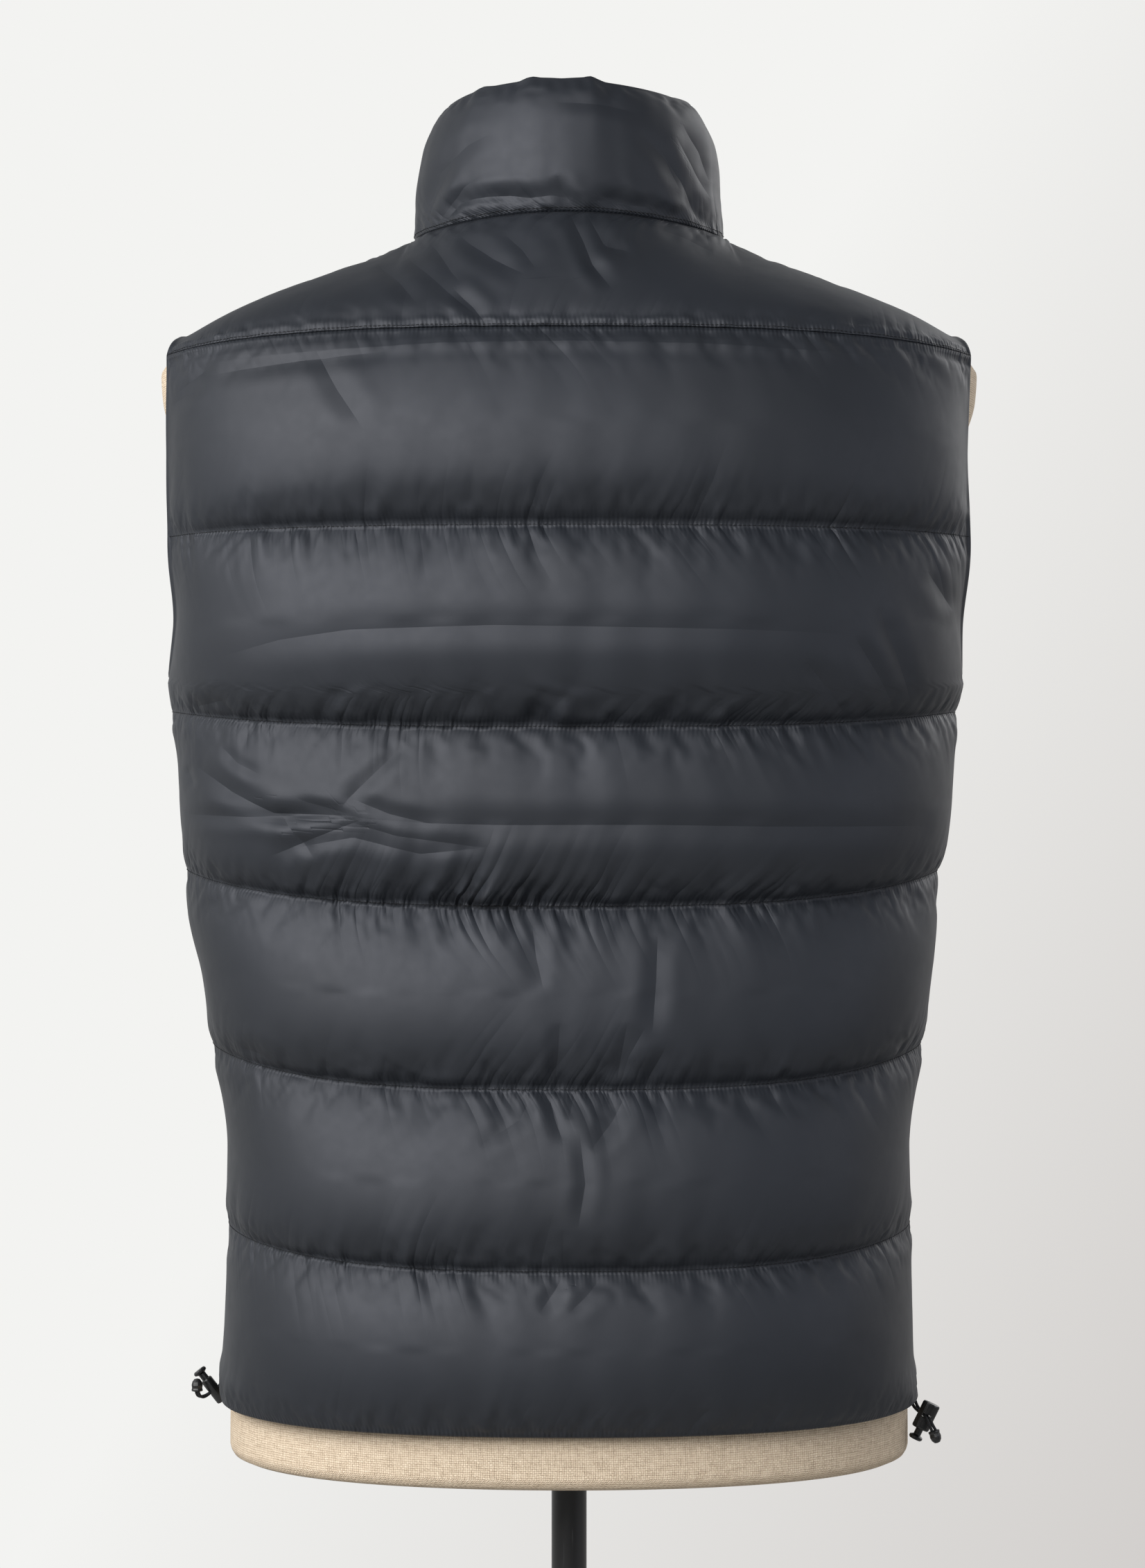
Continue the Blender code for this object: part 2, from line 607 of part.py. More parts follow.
def collar_grid():
    """Inner points of the collar, from its right zip edge round the back to its left zip edge."""
    back_half = BACK_COLUMNS // 3
    centre_angle = math.pi - math.asin(ZIP_HALF / NECKLINE["half_width"])
    front = math.pi / 2 + np.arange(1, NECK_COLUMNS + 1) / NECK_COLUMNS * (centre_angle - math.pi / 2)
    back = (np.arange(back_half + 1) / back_half * 2 - 1) * math.pi / 2
    angles = np.concatenate([-front[::-1], back, front])
    share, angle = np.meshgrid(COLLAR["share"], angles, indexing="ij")
    column = {key: np.interp(share, COLLAR["share"], COLLAR[key]) for key in ("half_width", "back", "front")}
    cosine = np.cos(angle)
    depth = np.where(cosine > 0, column["back"], column["front"])
    foot = neckline_point(angle)
    end_top = np.where(cosine > 0, COLLAR_TOP["back"], COLLAR_TOP["front"])
    top = COLLAR_TOP["side"] + (end_top - COLLAR_TOP["side"]) * cosine**2
    x = column["half_width"] * np.sin(angle)
    x[:, 0], x[:, -1] = -ZIP_HALF, ZIP_HALF
    height = foot[..., 2] + SEAM_GAP + share * (top - foot[..., 2])
    return np.stack([x, depth * cosine, height], axis=-1)


def share_seams(back, yoke, fronts, collar):
    """Normals of every grid, made equal where two pieces meet in a seam."""
    back_out, yoke_out, collar_out = outward(back), outward(yoke), outward(collar)
    front_out = {side: outward(grid) for side, grid in fronts.items()}
    back_out[-1] = yoke_out[0] = unit(back_out[-1] + yoke_out[0])
    seam_rows = round(ARMHOLE_LEVEL * ROWS) + 1
    for side, column in ((1, -1), (-1, 0)):
        seam = unit(back_out[:seam_rows, column] + front_out[side][:seam_rows, 0])
        back_out[:seam_rows, column] = seam
        front_out[side][:seam_rows, 0] = seam
        front_out[side][-1, :SHOULDER_COLUMNS] = shoulder_direction(side)
        front_out[side][-1, SHOULDER_COLUMNS:] = neckline_direction(fronts[side][-1, SHOULDER_COLUMNS:])
    off_centre = np.arange(BACK_COLUMNS + 1) - BACK_COLUMNS / 2
    on_neck = np.abs(off_centre) <= (1 - BACK_SHOULDER_SHARE) * BACK_COLUMNS / 2 + 1e-6
    yoke_out[-1] = np.where(on_neck[:, None], neckline_direction(yoke[-1]),
                            shoulder_direction(np.sign(off_centre)))
    collar_out[0] = neckline_direction(collar[0])
    return back_out, yoke_out, front_out, collar_out


def make_panel(name, grid, normals, levels, centre_edge, creases_side, skips):
    """A quilted panel. Its side edges are bound above the side seams."""
    bound = np.where((levels > ARMHOLE_LEVEL + 0.01) & (levels < NECK), ARMHOLE_EDGE, 0)
    thickness = quilt_thickness(grid, levels, bound, bound if centre_edge is None else centre_edge)
    outer = press_creases(grid + normals * thickness[..., None], normals, thickness, creases_side)
    if centre_edge is not None:
        outer[:, -1, 0] = grid[:, -1, 0]
    wall(name, grid, outer, *skips, "shell_nylon")


def make_collar(collar, normals):
    """The stand collar, padded in one baffle and flat at its seam, its top edge and its zip edges."""
    inset = np.clip(edge_distance(collar) / 0.012, 0, 1)
    seam = LINES["seam"][NECK]
    padding = (COLLAR["thickness"][:, None] - seam) * np.sqrt(1 - (1 - inset) ** 2)
    thickness = seam + padding * (1 + 0.06 * gathers(collar, np.full(collar.shape[:2], NECK + 1.0)))
    outer = collar + normals * thickness[..., None]
    outer[:, (0, -1), 0] = collar[:, (0, -1), 0]
    wall("collar", collar, outer, len(collar) - 1, 1, "shell_nylon")


def make_vest():
    """Back panel, yoke, two fronts and collar, each a closed wall."""
    back, yoke = back_grid()
    fronts = {side: front_grid(side) for side in (1, -1)}
    collar = collar_grid()
    back_out, yoke_out, front_out, collar_out = share_seams(back, yoke, fronts, collar)
    make_panel("back_panel", back, back_out, PANEL_LEVELS[:YOKE_ROW + 1], None, 1, (3, 3))
    make_panel("back_yoke", yoke, yoke_out, PANEL_LEVELS[YOKE_ROW:], None, 1, (3, 1))
    for side, name in ((1, "front_left"), (-1, "front_right")):
        make_panel(name, fronts[side], front_out[side], PANEL_LEVELS, FRONT_EDGE, -1, (3, 1))
    make_collar(collar, collar_out)
    return fronts[1], collar


# ------------------------------------------------------------------ zip
def zip_line(front, collar):
    """Points up the centre front on the inner surface, and their outward normals."""
    body = front[:, -1]
    stand = collar[:, -1]
    points = np.concatenate([body[1::2], stand[1:-1]])
    points[:, 0] = 0
    along = unit(np.gradient(points, axis=0))
    normals = np.stack([np.zeros(len(points)), -along[:, 2], along[:, 1]], axis=1)
    return points, normals


def make_tape(name, side, points, normals):
    """One zip tape with its half of the teeth as a bead along its inner edge."""
    start = 0.5 * SEAM_GAP
    section = [(start, TAPE_BACK), (TAPE_WIDTH, TAPE_BACK), (TAPE_WIDTH, TAPE_FACE),
               (TEETH_HALF_WIDTH, TAPE_FACE), (TEETH_HALF_WIDTH, TEETH_FACE), (start, TEETH_FACE)]
    rings = [points + normals * out + np.array([side * across, 0, 0]) for across, out in section]
    grid = np.stack(rings, axis=1)
    count = len(section)
    faces = [(i * count + k, i * count + (k + 1) % count, (i + 1) * count + (k + 1) % count,
              (i + 1) * count + k) for i in range(len(points) - 1) for k in range(count)]
    faces += [tuple(range(count)), tuple((len(points) - 1) * count + k for k in reversed(range(count)))]
    add_object(name, closed_mesh(name, grid.reshape(-1, 3), faces, 30), "zip_tape")


def make_zip(front, collar):
    """Two tapes, the box at the foot, the slider with its bridge near the top, and the pull tab."""
    points, normals = zip_line(front, collar)
    make_tape("zip_tape_left", 1, points, normals)
    make_tape("zip_tape_right", -1, points, normals)

    height = collar[0, -1, 2] + SLIDER_SHARE * (collar[-1, -1, 2] - collar[0, -1, 2])
    k = int(np.searchsorted(points[:, 2], height)) - 1
    t = (height - points[k, 2]) / (points[k + 1, 2] - points[k, 2])
    centre = Vector(points[k] + t * (points[k + 1] - points[k]))
    out = Vector(normals[k])
    up = Vector(points[k + 1] - points[k]).normalized()
    face = centre + out * (TEETH_FACE + SEAM_GAP + 0.5 * SLIDER_SIZE[1])
    placement = frame_at(face, up, -out)

    slider = block("zip_slider", SLIDER_SIZE, "zip_metal", 0.0011, 2)
    slider.matrix_world = placement
    bridge_data = bpy.data.curves.new("bridge", "CURVE")
    bridge_data.dimensions = "3D"
    bridge_data.bevel_depth = BRIDGE_WIRE
    bridge_data.bevel_resolution = 2
    bridge_data.use_fill_caps = True
    spline = bridge_data.splines.new("POLY")
    arch = [(-BRIDGE_HALF * math.cos(a), -BRIDGE_RISE * math.sin(a) ** 0.7)
            for a in np.linspace(0, math.pi, 11)]
    arch[0], arch[-1] = (-BRIDGE_HALF, BRIDGE_WIRE), (BRIDGE_HALF, BRIDGE_WIRE)
    spline.points.add(len(arch) - 1)
    for point, (z, y) in zip(spline.points, arch):
        point.co = (0, y - 0.5 * SLIDER_SIZE[1], z, 1)
    bridge_curve = add_object("bridge_curve", bridge_data, None, CUTTERS)
    bridge_curve.matrix_world = placement
    bridge = curve_to_mesh(bridge_curve, "bridge")
    combine(slider, bridge, "UNION")

    hinge = placement @ Vector((0, -0.5 * SLIDER_SIZE[1] - HINGE_LIFT, 0.0))
    pull = block("zip_pull", PULL_SIZE, "zip_metal", 0.0004, 1)
    window = block("pull_window", (PULL_WINDOW[0], 4 * PULL_SIZE[1], PULL_WINDOW[1]), None, 0, 0, CUTTERS)
    pull.location = hinge + Vector((0, 0, 0.5 * PULL_BAR - 0.5 * PULL_SIZE[2]))
    window.location = hinge + Vector((0, 0, -0.5 * PULL_BAR - 0.5 * PULL_WINDOW[1]))
    combine(pull, window, "DIFFERENCE")

    box = block("zip_box", BOX_SIZE, "zip_metal", 0.0006, 1)
    box_out = TEETH_FACE + SEAM_GAP + 0.5 * BOX_SIZE[1]
    box_at = Vector(points[0]) + Vector(normals[0]) * box_out + Vector((0, 0, BOX_LIFT))
    box.matrix_world = frame_at(box_at, Vector(points[1] - points[0]), -Vector(normals[0]))


def curve_to_mesh(curve_object, name):
    """Turn a bevelled curve into a closed mesh object in its place, among the cutters."""
    bpy.context.view_layer.update()
    evaluated = curve_object.evaluated_get(bpy.context.evaluated_depsgraph_get())
    mesh = bpy.data.meshes.new_from_object(evaluated)
    solid = bmesh.new()
    solid.from_mesh(mesh)
    bmesh.ops.remove_doubles(solid, verts=solid.verts, dist=0.00001)
    solid.to_mesh(mesh)
    solid.free()
    made = add_object(name, mesh, None, CUTTERS)
    made.matrix_world = curve_object.matrix_world
    bpy.data.objects.remove(curve_object)
    return made


# ------------------------------------------------------------------ cord locks and elastic cords
def smooth_route(route, count):
    """Points at even distances on a smooth curve through a route's own points."""
    knots = np.arange(len(route))
    fine = np.linspace(0, len(route) - 1, 400)
    tangents = np.gradient(route, axis=0)
    k = np.clip(fine.astype(int), 0, len(route) - 2)
    t = (fine - knots[k])[:, None]
    curve = (route[k] * (1 + 2 * t) * (1 - t) ** 2 + route[k + 1] * t**2 * (3 - 2 * t)
             + tangents[k] * t * (1 - t) ** 2 - tangents[k + 1] * t**2 * (1 - t))
    travelled = np.concatenate([[0], np.cumsum(np.linalg.norm(np.diff(curve, axis=0), axis=1))])
    even = np.linspace(0, travelled[-1], count)
    return np.stack([np.interp(even, travelled, curve[:, axis]) for axis in range(3)], axis=1)


def make_cord(name, route):
    """An elastic cord along a route."""
    data = bpy.data.curves.new(name, "CURVE")
    data.dimensions = "3D"
    data.bevel_depth = 0.5 * CORD_DIAMETER
    data.bevel_resolution = 2
    data.use_fill_caps = True
    spline = data.splines.new("POLY")
    points = smooth_route(route, 13)
    spline.points.add(len(points) - 1)
    for point, place in zip(spline.points, points):
        point.co = (*place, 1)
    add_object(name, data, "elastic")


def make_lock(side, lock):
    """Barrel with its bore and cord slot, sprung plunger, cord end, and the two cords through it."""
    along, cross = Vector(lock["axis"]).normalized(), Vector(lock["cross"]).normalized()
    placement = frame_at(lock["centre"], along, cross)

    name = f"cord_lock_{side}"
    mesh = bpy.data.meshes.new(name)
    solid = bmesh.new()
    bmesh.ops.create_cone(solid, cap_ends=True, segments=20, radius1=0.5, radius2=0.5, depth=1.0)
    bmesh.ops.scale(solid, vec=(BARREL_WIDE, BARREL_THIN, BARREL_LENGTH), verts=solid.verts)
    solid.to_mesh(mesh)
    solid.free()
    barrel = add_object(name, mesh, "black_plastic")
    barrel.matrix_world = placement
    round_edges(barrel, 0.0010, 2)

    bore_top = 0.5 * BARREL_LENGTH + 0.002
    bore = turned(f"bore_{side}", [(0, bore_top), (BORE_RADIUS, bore_top), (BORE_RADIUS, BORE_FOOT),
                                   (0, BORE_FOOT)], None, 16, CUTTERS)
    bore.matrix_world = placement
    combine(barrel, bore, "DIFFERENCE")
    slot = block(f"slot_{side}", (CORD_SLOT[0], 2 * BARREL_THIN, CORD_SLOT[1]), None, 0, 0, CUTTERS)
    slot.matrix_world = placement
    combine(barrel, slot, "DIFFERENCE")

    mouth = 0.5 * BARREL_LENGTH
    stem = BORE_RADIUS - BORE_PLAY
    foot = BORE_FOOT + PLUNGER_TRAVEL + BORE_PLAY
    plunger = turned(f"cord_plunger_{side}", [
        (0, mouth + 0.0066), (0.0034, mouth + 0.0066), (0.0041, mouth + 0.0058), (0.0040, mouth + 0.0046),
        (stem, mouth + PLUNGER_TRAVEL + 0.0006), (stem, foot), (0, foot)], "black_plastic", 14)
    plunger.matrix_world = placement

    end = turned(f"cord_end_{side}", [
        (0, CORD_END_LENGTH), (0.5 * CORD_END_RADIUS, CORD_END_LENGTH - 0.0004),
        (0.85 * CORD_END_RADIUS, CORD_END_LENGTH - 0.0019), (CORD_END_RADIUS, 0.0036),
        (0.92 * CORD_END_RADIUS, 0.0018), (CORD_END_RADIUS, 0.0010), (CORD_END_RADIUS, 0.0002),
        (0.0026, 0.0), (0.0024, 0.0044), (0, 0.0044)], "black_plastic", 14)
    end.matrix_world = frame_at(lock["end"], lock["tip"])

    route = lock["route"]
    middle = np.stack([route["x"], route["y"], route["z"]], axis=1) * MM
    spread = np.stack([route["sx"], route["sy"], route["sz"]], axis=1) * MM
    make_cord(f"cord_{side}_a", middle + spread)
    make_cord(f"cord_{side}_b", middle - spread)


# ------------------------------------------------------------------ dress form and stand
def make_form():
    """Linen torso with a closed foot and shoulder caps, its neck cap, pole and base."""
    angles = np.arange(FORM_SEGMENTS) / FORM_SEGMENTS * 2 * math.pi
    rings = []
    for height, half_width, back, front in zip(*FORM.values()):
        depth = np.where(np.cos(angles) > 0, back, front)
        x, y = rounded_section(angles, half_width, depth, 0.06)
        rings.append(np.stack([x, y, np.full_like(x, height)], axis=1))
    count = FORM_SEGMENTS
    last = (len(rings) - 1) * count
    faces = [(i * count + k, i * count + (k + 1) % count, (i + 1) * count + (k + 1) % count,
              (i + 1) * count + k) for i in range(len(rings) - 1) for k in range(count)]
    faces += [tuple(range(count)), tuple(last + k for k in reversed(range(count)))]
    add_object("form_torso", closed_mesh("form_torso", np.concatenate(rings), faces, 50), "linen")

    foot = FORM["height"][-1] + 0.0003
    turned("form_neck_cap", [(0, foot + 0.012), (0.030, foot + 0.0115), (0.050, foot + 0.009),
                             (0.0565, foot + 0.004), (0.0560, foot), (0, foot)], "cap_wood", 24)
    pole_top = FORM["height"][0] - 0.0003
    turned("form_pole", [(0, pole_top), (POLE_RADIUS, pole_top), (POLE_RADIUS, BOSS_TOP + 0.0003),
                         (0, BOSS_TOP + 0.0003)], "pole_paint", 24)
    turned("form_base", [(0, BOSS_TOP), (BOSS_RADIUS - 0.003, BOSS_TOP), (BOSS_RADIUS, BOSS_TOP - 0.003),
                         (BOSS_RADIUS, 0.030), (BOSS_RADIUS + 0.010, 0.017), (0.090, BASE_THICKNESS + 0.003),
                         (BASE_RADIUS - 0.004, BASE_THICKNESS), (BASE_RADIUS, BASE_THICKNESS - 0.004),
                         (BASE_RADIUS, 0.001), (BASE_RADIUS - 0.001, 0), (0, 0)], "pole_paint", 36)


make_form()
front_points, collar_points = make_vest()
make_zip(front_points, collar_points)
for lock_side, lock_sizes in LOCKS.items():
    make_lock(lock_side, lock_sizes)
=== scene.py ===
# %% [markdown]
# # A down vest on a dress form
# The real object is a sleeveless down vest with a stand collar, worn by a limbless dress form that is
# covered with linen and stands on a black steel pole. The frame holds its solids; this script gives
# them their looks. Sizes are metres, +Z is up, the vest's front faces -Y and its left side is at +X.

# %% Load the frame
import math
from functools import partial

import bmesh
import bpy
import numpy as np
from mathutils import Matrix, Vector


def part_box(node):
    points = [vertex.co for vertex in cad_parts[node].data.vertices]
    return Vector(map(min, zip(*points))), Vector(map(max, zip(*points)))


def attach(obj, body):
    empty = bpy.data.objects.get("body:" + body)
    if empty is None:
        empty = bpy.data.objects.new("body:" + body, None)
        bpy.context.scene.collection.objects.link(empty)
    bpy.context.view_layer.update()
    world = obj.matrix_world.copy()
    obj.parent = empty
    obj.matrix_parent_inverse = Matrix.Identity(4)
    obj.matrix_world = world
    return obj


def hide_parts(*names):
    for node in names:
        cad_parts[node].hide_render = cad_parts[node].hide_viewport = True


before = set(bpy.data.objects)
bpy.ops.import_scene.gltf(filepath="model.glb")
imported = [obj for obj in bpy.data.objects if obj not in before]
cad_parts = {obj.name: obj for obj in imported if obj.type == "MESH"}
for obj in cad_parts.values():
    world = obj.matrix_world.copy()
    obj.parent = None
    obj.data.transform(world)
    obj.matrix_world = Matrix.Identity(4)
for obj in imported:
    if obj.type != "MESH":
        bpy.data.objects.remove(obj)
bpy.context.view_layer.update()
BODY = "vest_on_stand"
MM = 0.001

# %% [markdown]
# ## The camera
# The photograph was taken level, from straight behind, with a long lens. Its focal length is kept in
# the photograph's own pixels, so the lens follows from the picture's height and the sensor's.

# %% Camera
PHOTO_HEIGHT = 2263          # pixels
FOCAL_PIXELS = 5526
SENSOR = 36.0                # millimetres, along the picture's height
CAMERA_AT = (-0.002, 2.25, 1.1915)

lens = bpy.data.cameras.new("camera")
lens.sensor_fit = "VERTICAL"
lens.sensor_height = SENSOR
lens.lens = FOCAL_PIXELS * SENSOR / PHOTO_HEIGHT
camera = bpy.data.objects.new("camera", lens)
camera.location = CAMERA_AT
camera.rotation_euler = (math.pi / 2, 0, math.pi)
bpy.context.scene.collection.objects.link(camera)
bpy.context.scene.camera = camera
print("lens:", round(lens.lens, 1), "mm")

# %% [markdown]
# ## Helpers for meshes
# Most pieces are surfaces on a grid: a numpy array of points with a row for each step one way and a
# column for each step the other way. One function turns such a grid into faces, and one puts a mesh
# into the scene, on the body it moves with and in the material slot it takes its finish from.


# %% Meshes from arrays
def table(columns, *rows):
    """Name the columns of a short table: {column: array of its values}."""
    return dict(zip(columns.split(), np.array(rows, float).T))


def grid_faces(rows, columns, first=0, wrap=False, flip=False):
    """Corner numbers of the quads of a grid of points: point (i, j) is number first + i * columns + j."""
    i, j = np.meshgrid(np.arange(rows - 1), np.arange(columns if wrap else columns - 1), indexing="ij")
    beside, low, high = (j + 1) % columns, i * columns, (i + 1) * columns
    quads = np.stack([low + j, low + beside, high + beside, high + j], -1).reshape(-1, 4) + first
    return quads[:, ::-1] if flip else quads


def ring_faces(rings, sides, flip=False):
    """Faces of a stack of closed rings. A fan closes each end, to one of two points after the rings."""
    foot, last = rings * sides, (rings - 1) * sides
    fans = [[foot, (k + 1) % sides, k] for k in range(sides)]
    fans += [[foot + 1, last + k, last + (k + 1) % sides] for k in range(sides)]
    fans = [[centre, after, before] if flip else [centre, before, after] for centre, before, after in fans]
    return grid_faces(rings, sides, wrap=True, flip=flip).tolist() + fans


def add_piece(name, points, faces, material, body=BODY, uv=None, smooth=True, sharp=None):
    """A finished mesh piece: points (n, 3), faces as corner lists, and uv (n, 2) in metres for a pattern."""
    mesh = bpy.data.meshes.new(name)
    points = np.asarray(points, float).reshape(-1, 3).tolist()
    mesh.from_pydata(points, [], [list(map(int, face)) for face in faces])
    mesh.materials.append(material)
    if smooth:
        mesh.shade_smooth()
    if sharp:
        mesh.set_sharp_from_angle(angle=math.radians(sharp))
    if uv is not None:
        corner = np.empty(len(mesh.loops), int)
        mesh.loops.foreach_get("vertex_index", corner)
        layer = mesh.uv_layers.new(name="UVMap")
        layer.data.foreach_set("uv", np.asarray(uv, np.float32).reshape(-1, 2)[corner].ravel())
    piece = bpy.data.objects.new(name, mesh)
    bpy.context.scene.collection.objects.link(piece)
    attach(piece, body)
    return piece


def add_attribute(piece, name, values):
    """A float for every point of a piece, which its material reads."""
    layer = piece.data.attributes.new(name, "FLOAT", "POINT")
    layer.data.foreach_set("value", np.asarray(values, np.float32).ravel())


def weld(piece, distance):
    """Merge points nearer than a distance, then turn all faces outwards."""
    shell = bmesh.new()
    shell.from_mesh(piece.data)
    bmesh.ops.remove_doubles(shell, verts=shell.verts, dist=distance)
    bmesh.ops.recalc_face_normals(shell, faces=shell.faces)
    shell.to_mesh(piece.data)
    shell.free()


# %% Arithmetic on points
def unit(vectors):
    """Vectors of length 1."""
    return vectors / np.maximum(np.linalg.norm(vectors, axis=-1, keepdims=True), 1e-12)


def way_along(points):
    """Distance along a line of points from its first one, in metres: the running sum of its steps."""
    return np.concatenate([[0], np.cumsum(np.linalg.norm(np.diff(points, axis=0), axis=1))])


def at_way(at, way, values):
    """Rows of values (x, y, z) at given distances along a line, straight between its points."""
    return np.stack([np.interp(at, way, values[:, axis]) for axis in range(3)], axis=1)


def bell(distance, width):
    """1 at no distance, and near 0 from two widths on: exp(-(distance / width)^2)."""
    return np.exp(-((distance / width) ** 2))


def fade_in(distance, width):
    """0 at no distance, 1 from a width on, and straight between: distance / width, kept from 0 to 1."""
    return np.clip(distance / width, 0, 1)


print("bell at 0, 1 and 2 widths:", bell(np.arange(3), 1.0).round(3))


# %% [markdown]
# ## Helpers for materials
# Colours are written as sRGB hex values, as a paint chart gives them, and turned to linear light once.
# One small function adds a shader node with its settings, its constant sockets and its links.


# %% Colours and shader nodes
def linear(code):
    """Linear RGBA from an sRGB hex colour such as "#1c2025"."""
    value = np.array([int(code[i:i + 2], 16) for i in (1, 3, 5)]) / 255
    value = np.where(value <= 0.04045, value / 12.92, ((value + 0.055) / 1.055) ** 2.4)
    return (*value, 1.0)


def connect(node, inputs):
    """Set or link inputs by name or number. Each is given a constant, an output, or a node, which stands
    for the first of its outputs that is in use."""
    for key, value in inputs.items():
        if isinstance(value, bpy.types.Node):
            value = next(output for output in value.outputs if output.enabled)
        if isinstance(value, bpy.types.NodeSocket):
            node.id_data.links.new(value, node.inputs[key])
        else:
            node.inputs[key].default_value = value


def add_node(tree, kind, inputs=(), stops=(), **settings):
    """Add a node. inputs are named or in order, stops are a ramp's (position, hex colour or grey), and
    settings are the node's own properties."""
    made = tree.nodes.new("ShaderNode" + kind)
    for key, value in settings.items():
        setattr(made, key, value)
    connect(made, inputs if isinstance(inputs, dict) else dict(enumerate(inputs)))
    if stops:
        elements = made.color_ramp.elements
        while len(elements) < len(stops):
            elements.new(0.5)
        for element, (position, colour) in zip(elements, stops):
            element.position = position
            element.color = linear(colour) if isinstance(colour, str) else (colour, colour, colour, 1)
    return made


def new_material(name, **values):
    """A Principled material, its constant sockets set directly. Returns it, its shader, and add_node on
    its node tree."""
    material = bpy.data.materials.new(name)
    material.use_nodes = True
    shader = material.node_tree.nodes["Principled BSDF"]
    connect(shader, {key.replace("_", " "): value for key, value in values.items()})
    return material, shader, partial(add_node, material.node_tree)


print("nylon black in linear light:", [round(float(part), 4) for part in linear("#11151a")[:3]])

# %% [markdown]
# ## Nylon taffeta of the shell
# The shell is a blue-black nylon taffeta: filament threads of about 0.1 mm, woven plain and pressed, so
# it has a soft satin gloss. The threads are far finer than a pixel, so the weave is drawn at 0.7 mm,
# just coarse enough to break up the highlights. Beside each quilt line the needle draws the cloth in at
# every stitch, which shows as a row of small beads, and the cloth gathers into puckers that fade away
# from it. Attributes on the mesh say where: the distance from the line, the way along it, how strongly
# it gathers there, and for the creases further down the signed distance from a fold and its depth.

# %% Nylon
STITCH_PITCH = 2.4 * MM
STITCH_REACH = 1.5 * MM      # distance from the seam at which its beads are half as high
WEAVE_SHOWN = 0.7 * MM
FOLD_REACH = 2.3 * MM        # distance from a sharp fold at which it is half as deep
FOLD_LAYERS = 4              # creases that cross or come near each other are kept in different layers
FOLD_NAMES = [f"{value}_{k}" for k in range(FOLD_LAYERS) for value in ("fold", "depth")]
PUCKER_LEAN = (0.25, 0.70)   # least and most sideways lean of the puckers, for each step off the seam
PUCKERS = (                  # distance between them, distance at which they are half as high, height
    (3.0 * MM, 1.4 * MM, 0.45 * MM), (7.0 * MM, 3.8 * MM, 1.3 * MM), (15.0 * MM, 8.0 * MM, 3.6 * MM))
PUCKER_DRAWN_OUT = 0.07      # how much slower a pucker's height changes along it than across it


